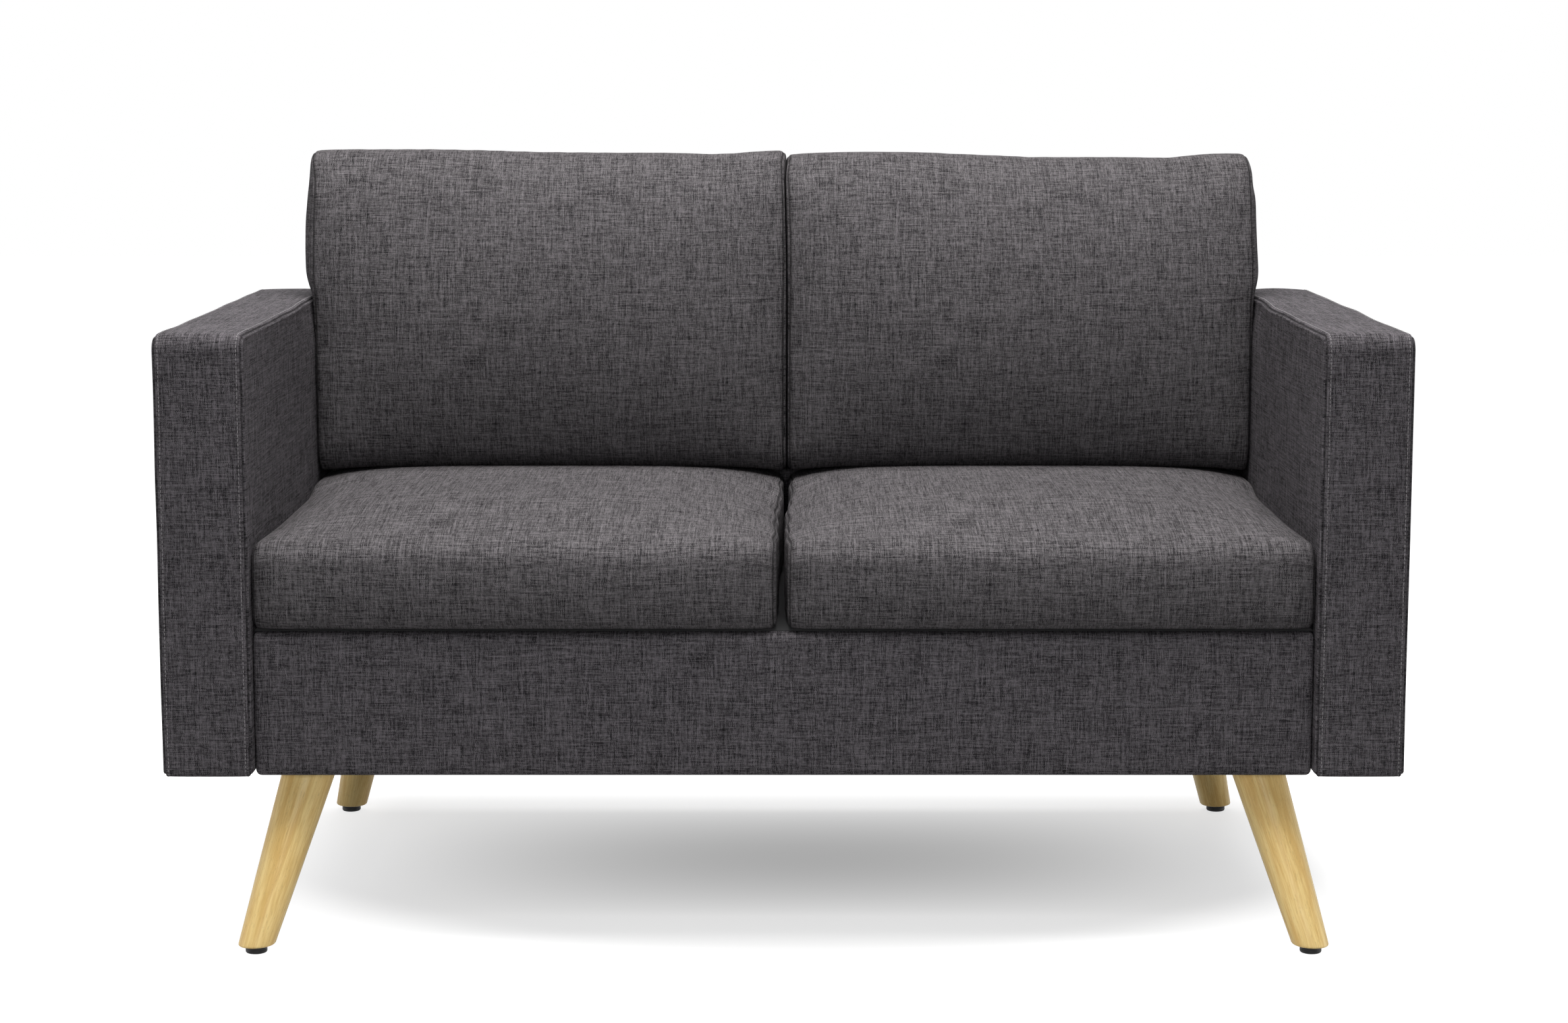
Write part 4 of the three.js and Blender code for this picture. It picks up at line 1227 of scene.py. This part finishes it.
def corner_folds(u, w, half_x, half_z, seed):
    """Shallow folds that run from the upper corners down into the front of the cushion."""
    rng = np.random.default_rng(seed)
    total = np.zeros_like(u)
    for side in (-1, 1):
        for _ in range(folds_per_corner):
            turn = math.radians(rng.uniform(25, 75))
            reach, width = rng.uniform(0.07, 0.15), rng.uniform(0.006, 0.011)
            a = (1 - u * side) * half_x
            b = (1 - w) * half_z
            along = a * math.cos(turn) + b * math.sin(turn)
            aside = a * math.sin(turn) - b * math.cos(turn) - rng.uniform(-0.03, 0.03)
            shape = np.exp(-(aside / width) ** 2) * np.exp(-((along - reach * 0.5) / reach) ** 2)
            total += shape * rng.uniform(0.0004, 0.0011) * rng.choice((-1, 1))
    return total


def keep_back_clear(piece, centre, half, side):
    """The cushion stays off the arm's side, the other cushion, the back and the seat."""
    points = mesh_points(piece)
    x, y, z = points.T
    inner = back_meeting(y) + side * half_gap
    outer = side * np.where(z < arm_holds_to, arm_face + arm_press(y, z), widest_reach)
    points[:, 0] = np.clip(x, np.minimum(inner, outer), np.maximum(inner, outer))
    u = (x - centre[0]) / half[0]
    points[:, 2] = np.maximum(z, centre[2] - half[2] - 0.5 * seat_droop * np.clip(np.abs(u), 0, 1) ** 6)
    points[:, 1] = np.minimum(y, back_line(points[:, 2]) - 0.0008)
    move_points(piece, points)


back_cushions = {}
for hand, side in hands:
    cushion, layout, rough, centre, half = make_back_cushion(hand, side, 31 + side)
    settle_cover(cushion, rough, loosest=0.22, pressure=9, frames=12, cap=0.004)
    keep_back_clear(cushion, centre, half, side)
    press_seam(cushion, layout, depth=0.8, ridge=0.2, dimple=0)
    subdivide(cushion)
    back_cushions[hand] = cushion
    print(cushion.name, len(cushion.data.polygons), "faces")

# %% [markdown]
# ## Arms
#
# A track arm is a flat board box with thin wadding. Its front and top are one
# strip of cloth, sewn to the side panels along both edges and stitched again
# beside each seam. The wadding is soft enough for the top to ripple a little
# between the staples.


# %% Arm upholstery
arm_corners, arm_edge_radius = {(-1, -1): 0.007, (1, -1): 0.007, (1, 1): 0.024, (-1, 1): 0.018}, 0.0065
arm_face_size = (0.012, 0.012, 0.012)


def make_arm(hand, side, seed):
    low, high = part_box(f"arm_cover_{hand}")
    half_x = (high[0] - low[0]) / 2
    centre_x = (low[0] + high[0]) / 2

    def shape(points):
        x, y, z = points.T
        on_top = ease((z - high[2] + 0.03) / 0.03)
        ripple = 0.0011 * slow_waves(x * 2.5, y, seed, 0.16) * on_top
        front = ease((low[1] + 0.02 - y) / 0.02)
        puff = 0.0012 * (1 - (x / half_x) ** 2) * front * (1 + 0.6 * slow_waves(x, z, seed + 5, 0.2))
        outer = ease(x * side / half_x * 2 - 1)
        sag = 0.0006 * slow_waves(y, z, seed + 9, 0.25) * outer
        crown = 0.0015 * (1 - (x / half_x) ** 2) * on_top
        pressed = side * arm_press(y, z) * ease(-x * side / half_x * 1.5 - 0.5)
        height = z + ripple * 0.8 + crown - 0.0012 * on_top
        return np.stack([x + centre_x - side * np.abs(sag) + pressed, y - puff, height], 1)

    layout = sewn_box(half_x, (low[1], high[1], low[2], high[2]), arm_corners, arm_edge_radius, arm_face_size, shape)
    return mesh_from_layout(f"arm_upholstery_{hand}", layout, cover_cloth), layout


thread_lift = 0.00015
frame_rows = []
arms = {}
for hand, side in hands:
    arm, layout = make_arm(hand, side, 51 + side)
    press_seam(arm, layout, depth=1.2, ridge=0.55, dimple=0.3)
    subdivide(arm)
    ny, _ = layout["grid"]
    frame_rows += stitch_rows(arm, layout, (0, 1), (ny, 1), thread_lift)
    arms[hand] = arm
    print(arm.name, len(arm.data.polygons), "faces")

# %% [markdown]
# ## Apron and back
#
# The apron is one panel of cloth over a thin pad, from arm to arm under the
# cushions. The back is a wedge: its inner face leans, its outer face hangs
# straight down behind the seat base. Both use the same sewn box. The back's
# shape function squeezes the part below the seat to the thickness of the cloth.
# Subdivision would round the wedge's lower edge and bare the timber inside, so
# the level edges there are creased.


# %% Apron
apron_corners = {(-1, -1): 0.009, (-1, 1): 0.011, (1, -1): 0.002, (1, 1): 0.002}
apron_face_size = (0.012, 0.004, 0.010)
panel_edge_radius = 0.006
# the apron's ends go in between the arms, so no seam shows: its cloth counts as this far from any
no_seam_near = 0.1


def make_apron():
    low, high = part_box("apron_panel")
    half_x = (high[0] - low[0]) / 2

    def shape(points):
        x, y, z = points.T
        w = (z - low[2]) / (high[2] - low[2]) * 2 - 1
        front = ease((high[1] - 0.004 - y) / 0.008)
        puff = 0.0012 * (1 - w * w) * (1 - (x / half_x) ** 8) * front
        uneven = 0.0005 * slow_waves(x, z, 71, 0.3) * front
        hang = 0.0016 * ease(-w * 6 - 5) * front
        return np.stack([x, y - puff - uneven, z - hang], 1)

    box = (low[1], high[1], low[2], high[2])
    layout = sewn_box(half_x, box, apron_corners, panel_edge_radius, apron_face_size, shape)
    layout["seam"] = np.full(len(layout["seam"]), no_seam_near)
    return mesh_from_layout("apron_upholstery", layout, cover_cloth)


apron = subdivide(make_apron())
print(apron.name, len(apron.data.polygons), "faces")


# %% Keep an edge sharp
def crease_levels(piece, levels):
    """Keeps the level edges at some heights sharp when the mesh is smoothed."""
    heights = mesh_points(piece)[:, 2]
    ends = np.empty(len(piece.data.edges) * 2, np.int32)
    piece.data.edges.foreach_get("vertices", ends)
    ends = heights[ends.reshape(-1, 2)]
    kept = np.any([np.abs(ends - level).max(axis=1) < 1e-6 for level in levels], axis=0)
    crease = piece.data.attributes.new("crease_edge", "FLOAT", "EDGE")
    crease.data.foreach_set("value", kept.astype(np.float32))


# %% Back
back_corners = {(-1, -1): 0.001, (1, -1): 0.001, (-1, 1): 0.005, (1, 1): 0.008}
back_panel_size = (0.016, 0.010, 0.014)
back_cloth_thickness = 0.002
# the wedge's underside drops to the thickness of the cloth within this height
wedge_step = 0.0004
# the back's rows of stitches start and stop at these places from the ring's corners
back_row_start, back_row_stop = 30, 4


def make_back():
    low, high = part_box("back_cover")
    half_x = (high[0] - low[0]) / 2
    full = high[1] - low[1]
    wedge_bottom = back_lean_from - wedge_step

    def shape(points):
        x, y, z = points.T
        above, below = z[z >= back_lean_from].min(), z[z < back_lean_from].max()
        z = np.where(z == above, back_lean_from, np.where(z == below, wedge_bottom, z))
        thickness = np.where(z >= back_lean_from, high[1] - back_line(z), back_cloth_thickness)
        across = (high[1] - y) / full
        behind = ease((y - high[1] + 0.01) / 0.01)
        w = np.clip((z - 0.2) / 0.55, 0, 1) * 2 - 1
        puff = 0.0010 * (1 - w ** 4) * (1 - (x / half_x) ** 8) * behind
        uneven = 0.0006 * slow_waves(x, z, 83, 0.35) * behind * (1 - (x / half_x) ** 8)
        return np.stack([x, high[1] - across * thickness + puff + uneven, z], 1)

    box = (low[1], high[1], low[2], high[2])
    layout = sewn_box(half_x, box, back_corners, panel_edge_radius, back_panel_size, shape)
    piece = mesh_from_layout("back_upholstery", layout, cover_cloth)
    crease_levels(piece, (back_lean_from, wedge_bottom))
    return piece, layout


back, back_layout = make_back()
press_seam(back, back_layout, depth=0.7, ridge=0.4, dimple=0.25)
subdivide(back)
ny, nz = back_layout["grid"]
frame_rows += stitch_rows(back, back_layout, (0, nz - back_row_start), (ny, back_row_stop), thread_lift)
print(back.name, len(back.data.polygons), "faces")

# %% Sew the rows
frame_stitches = grow_along("stitches_frame", frame_rows, stitch_tree, {"Seed": 5, "Thread": sewing_thread})

# %% [markdown]
# ## Legs and glides
#
# A leg is turned on a lathe, so it is a slim cone, set at a slant and cut level
# at both ends. Slicing that cone with level planes gives its rings. A small
# round at the lower edge catches the light. Each ring point also stores where it
# sits along and across the leg's own axis, which the grain reads.


# %% Faces of a stack of rings
def stack_faces(rows, sides):
    """Quads between the rings, and triangles to the middles of the two ends, which are the last two points."""
    faces = []
    for r in range(rows - 1):
        for n in range(sides):
            m = (n + 1) % sides
            faces.append((r * sides + n, r * sides + m, (r + 1) * sides + m, (r + 1) * sides + n))
    last, bottom, top = (rows - 1) * sides, rows * sides, rows * sides + 1
    for n in range(sides):
        m = (n + 1) % sides
        faces += [(bottom, m, n), (top, last + n, last + m)]
    return faces


# %% Turn the legs
# heights of the level cuts, the cone's radius at the floor and at the upper cut, and the round of the lower edge
leg_cut_low, leg_cut_high = 0.0083, 0.1943
foot_radius, leg_top_radius = 0.0182, 0.0282
leg_round = 0.0022
leg_sides, glide_sides = 64, 48
# where each leg's axis meets the floor, and how far it leans up to its upper cut
leg_stands = {
    "front_left": ((-0.562, -0.325), (0.056, 0.070)), "front_right": ((0.562, -0.325), (-0.056, 0.070)),
    "rear_left": ((-0.548, 0.325), (0.049, -0.070)), "rear_right": ((0.548, 0.325), (-0.049, -0.070)),
}


def make_leg(name, foot, lean):
    start = np.array([foot[0], foot[1], 0])
    axis = np.array([lean[0], lean[1], leg_cut_high])
    length = np.linalg.norm(axis)
    along = axis / length
    first = np.cross(along, (0, 1, 0))
    first /= np.linalg.norm(first)
    second = np.cross(along, first)
    angles = np.arange(leg_sides) * math.tau / leg_sides
    spokes = np.cos(angles)[:, None] * first + np.sin(angles)[:, None] * second
    lower, upper = start + foot_radius * spokes, start + axis + leg_top_radius * spokes
    corner = [(leg_round * (1 - math.cos(t)), leg_round * (1 - math.sin(t))) for t in np.linspace(0, quarter_turn, 6)]
    levels = [(leg_cut_low, 0.006), (leg_cut_low, 0.0032)] + [(leg_cut_low + up, cut) for up, cut in corner]
    levels += [(z, 0) for z in np.linspace(0.02, 0.18, 17)]
    levels += [(leg_cut_high - 0.001, 0), (leg_cut_high - 0.0003, 0.0002), (leg_cut_high, 0.0008),
               (leg_cut_high, 0.006)]
    rings = []
    for z, cut in levels:
        share = (z - lower[:, 2]) / (upper[:, 2] - lower[:, 2])
        ring = lower + share[:, None] * (upper - lower)
        middle = start + axis * z / leg_cut_high
        out = ring - middle
        rings.append(middle + out * (1 - cut / np.linalg.norm(out, axis=1))[:, None])
    points = np.concatenate(rings + [[start + axis * leg_cut_low / leg_cut_high], [start + axis]])
    reach = points - start
    place = np.stack([reach @ first, reach @ second, reach @ along], 1) + np.array([foot[0], foot[1], 0]) * 3
    leg = smooth_piece(name, points.tolist(), stack_faces(len(levels), leg_sides), leg_wood)
    grain = leg.data.attributes.new("grain_place", "FLOAT_VECTOR", "POINT")
    grain.data.foreach_set("vector", place.ravel())
    return leg


legs = {name: make_leg(f"turned_leg_{name}", *stand) for name, stand in leg_stands.items()}
print(len(legs), "legs,", len(legs["front_left"].data.polygons), "faces each")


# %% Mould the glides
# radius and height, from the middle of the face on the floor up to the top of the stem
glide_profile = (
    (0.0, 0.0), (0.0097, 0.0), (0.0106, 0.0003), (0.0112, 0.0009), (0.0115, 0.0018), (0.0115, 0.0040),
    (0.0113, 0.0042), (0.0113, 0.0045), (0.0115, 0.0047), (0.0115, 0.0074), (0.0113, 0.0078),
    (0.0109, 0.0080), (0.0033, 0.0080), (0.0030, 0.0083), (0.0030, 0.0218), (0.0026, 0.0223), (0.0, 0.0223))


def make_glide(name, foot, lean):
    share = leg_cut_low / leg_cut_high
    centre = (foot[0] + lean[0] * share, foot[1] + lean[1] * share)
    points = []
    for radius, z in glide_profile[1:-1]:
        for n in range(glide_sides):
            angle = n * math.tau / glide_sides
            points.append((centre[0] + radius * math.cos(angle), centre[1] + radius * math.sin(angle), z))
    points += [(*centre, 0.0), (*centre, glide_profile[-1][1])]
    faces = stack_faces(len(glide_profile) - 2, glide_sides)
    return smooth_piece(name, points, faces, black_nylon, sharp_over=50)


glides = {name: make_glide(f"moulded_glide_{name}", *stand) for name, stand in leg_stands.items()}

# %% [markdown]
# ## Linings
#
# Black non-woven cloth closes the underside and covers the springs. It is
# stretched and stapled, so it is nearly flat: it dips a little between what
# holds it. A grid of points with a shallow dip, given a thickness, is enough.


# %% Stretch the linings
lining_step = 0.014


def make_lining_sheet(name, box, level, dip, seed, thickness):
    (x0, y0), (x1, y1) = box
    nx, ny = round((x1 - x0) / lining_step), round((y1 - y0) / lining_step)
    x, y = np.meshgrid(np.linspace(x0, x1, nx + 1), np.linspace(y0, y1, ny + 1), indexing="ij")
    u, v = (x - x0) / (x1 - x0), (y - y0) / (y1 - y0)
    held = 1 - (1 - np.clip(np.minimum.reduce([u * 12, (1 - u) * 12, v * 6, (1 - v) * 6]), 0, 1)) ** 2
    z = level - dip * held * (0.55 + 0.45 * slow_waves(x, y, seed, 0.3))
    points = np.stack([x, y, z], 2).reshape(-1, 3)
    under = points - (0, 0, thickness)
    count = len(points)
    index = np.arange(count).reshape(nx + 1, ny + 1)
    a, b = index[:-1, :-1].ravel(), index[1:, :-1].ravel()
    c, d = index[1:, 1:].ravel(), index[:-1, 1:].ravel()
    faces = np.stack([a, b, c, d], 1).tolist() + (np.stack([d, c, b, a], 1) + count).tolist()
    rim = np.concatenate([index[:, 0], index[-1, 1:], index[-2::-1, -1], index[0, -2:0:-1]])
    for n, m in zip(rim, np.roll(rim, -1)):
        faces.append((int(m), int(n), int(n) + count, int(m) + count))
    return smooth_piece(name, np.concatenate([points, under]).tolist(), faces, black_lining, sharp_over=50)


dust_low, dust_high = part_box("dust_cover")
deck_low, deck_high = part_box("deck_cloth")
dust_lining = make_lining_sheet("dust_lining", (dust_low[:2], dust_high[:2]), dust_high[2],
                                dip=0.0004, seed=91, thickness=0.0007)
deck_lining = make_lining_sheet("deck_lining", (deck_low[:2], deck_high[:2]), deck_high[2],
                                dip=0.0016, seed=92, thickness=0.0010)

# %% [markdown]
# ## Zips
#
# Each cushion cover closes with a zip along its lower rear edge. The slider is a
# CAD solid that really moves, so only the closed chain of teeth is added here,
# again as a Geometry Nodes row: one small tooth, repeated along a line and moved
# to the other side of it at every second place.


# %% The row of teeth
# a tooth fills this share of its pitch
tooth_share = 0.62


def make_teeth_tree():
    tree, start, end, places = new_row_tree("zip_teeth", [
        ("Pitch", FLOAT, 0.0015), ("Tooth Width", FLOAT, 0.0020), ("Tooth Height", FLOAT, 0.0010),
        ("Stagger", FLOAT, 0.0004), ("Metal", MATERIAL, None)])
    size = add_node(tree, "ShaderNodeCombineXYZ", {
        "X": do_math(tree, "MULTIPLY", start.outputs["Pitch"], tooth_share),
        "Y": start.outputs["Tooth Width"], "Z": start.outputs["Tooth Height"]})
    tooth = add_node(tree, "GeometryNodeMeshCube", {"Size": size.outputs[0]})
    order = add_node(tree, "GeometryNodeInputIndex").outputs[0]
    sign = do_math(tree, "MULTIPLY_ADD", do_math(tree, "FLOORED_MODULO", order, 2), 2, -1)
    aside = do_math(tree, "MULTIPLY", sign, start.outputs["Stagger"])
    shift = add_node(tree, "ShaderNodeCombineXYZ", {"Y": aside})
    placed = add_node(tree, "GeometryNodeInstanceOnPoints", {**places, "Instance": tooth.outputs["Mesh"]})
    moved = add_node(tree, "GeometryNodeTranslateInstances", {
        "Instances": placed.outputs[0], "Translation": shift.outputs[0]})
    real = add_node(tree, "GeometryNodeRealizeInstances", {0: moved.outputs[0]})
    finish = add_node(tree, "GeometryNodeSetMaterial", {
        "Geometry": real.outputs[0], "Material": start.outputs["Metal"]})
    tree.links.new(finish.outputs[0], end.inputs[0])
    return tree


teeth_tree = make_teeth_tree()
# how far the chain's middle lies under the slider's
zip_sink = 0.0022


def make_zip_teeth(cushion, hand):
    """The closed chain under the slider's path, which runs the other way from where it parks."""
    low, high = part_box(f"{cushion}_zip_slider_{hand}")
    cover_low, cover_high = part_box(f"{cushion}_cover_{hand}")
    middle = (cover_low[0] + cover_high[0]) / 2
    half = high[0] - middle
    y, z = (low[1] + high[1]) / 2, (low[2] + high[2]) / 2
    outward = np.array([0, math.sqrt(0.5), -math.sqrt(0.5)])
    ends = np.array([[middle - half, y, z], [middle + half, y, z]]) - outward * zip_sink
    return grow_along(f"zip_teeth_{cushion}_{hand}", [(ends, np.tile(outward, (2, 1)))], teeth_tree,
                      {"Metal": plated_steel})


zip_teeth = {(c, hand): make_zip_teeth(c, hand) for c in ("seat_cushion", "back_cushion") for hand, _ in hands}
print(len(zip_teeth), "chains,", len(zip_teeth[("seat_cushion", "left")].data.polygons), "faces each")

# %% [markdown]
# ## Finish the hidden frame
#
# The timbers, springs, bolts and foam stay as they came. They show when a
# cushion is lifted off or the settee is opened up, so each one gets the
# material that it is made of, with its grain along its length.

# %% Dress the CAD nodes
grain_along = {
    "X": ("front_rail", "rear_rail", "back_top_rail"),
    "Y": ("side_rail", "leg_batten", "arm_top_rail", "arm_bottom_rail"),
    "Z": ("back_post", "arm_front_post", "arm_rear_post"),
}


def material_for(name):
    for axis, starts in grain_along.items():
        if name.startswith(starts):
            return timber_along[axis]
    if name.startswith(("seat_spring", "arm_bolt", "leg_bolt")) or "zip_slider" in name:
        return plated_steel
    if name.endswith(("_core_left", "_core_right")) or name.startswith("arm_pad"):
        return open_cell_foam
    if name.startswith("back_board"):
        return back_board_wood
    if name.startswith("glide"):
        return black_nylon
    if name.startswith("leg_"):
        return leg_wood
    return black_lining if name in ("deck_cloth", "dust_cover") else cover_cloth


for name, node in cad_nodes.items():
    node.data.materials.clear()
    node.data.materials.append(material_for(name))

# %% [markdown]
# ## Who moves with whom
#
# Everything rides on one of the CAD bodies. The cushions lift off one by one and
# their zip sliders run along them. The rest is bolted to the frame.

# %% Ride and replace
for hand, _ in hands:
    seat, rear = seat_cushions[hand], back_cushions[hand]
    carry(seat, f"seat_cushion_{hand}", "cushion_fabric", f"seat_cushion_cover_{hand}", f"seat_cushion_core_{hand}")
    carry(rear, f"back_cushion_{hand}", "cushion_fabric", f"back_cushion_cover_{hand}", f"back_cushion_core_{hand}")
    carry(arms[hand], "frame", "upholstery", f"arm_cover_{hand}", f"arm_pad_{hand}")
    for cushion in ("seat_cushion", "back_cushion"):
        carry(zip_teeth[(cushion, hand)], f"{cushion}_{hand}", "steel")
carry(apron, "frame", "upholstery", "apron_panel")
carry(back, "frame", "upholstery", "back_cover")
carry(frame_stitches, "frame", "upholstery")
for name in leg_stands:
    carry(legs[name], "frame", "leg_wood", f"leg_{name}")
    carry(glides[name], "frame", "nylon", f"glide_{name}")
carry(dust_lining, "frame", "lining", "dust_cover")
carry(deck_lining, "frame", "lining", "deck_cloth")
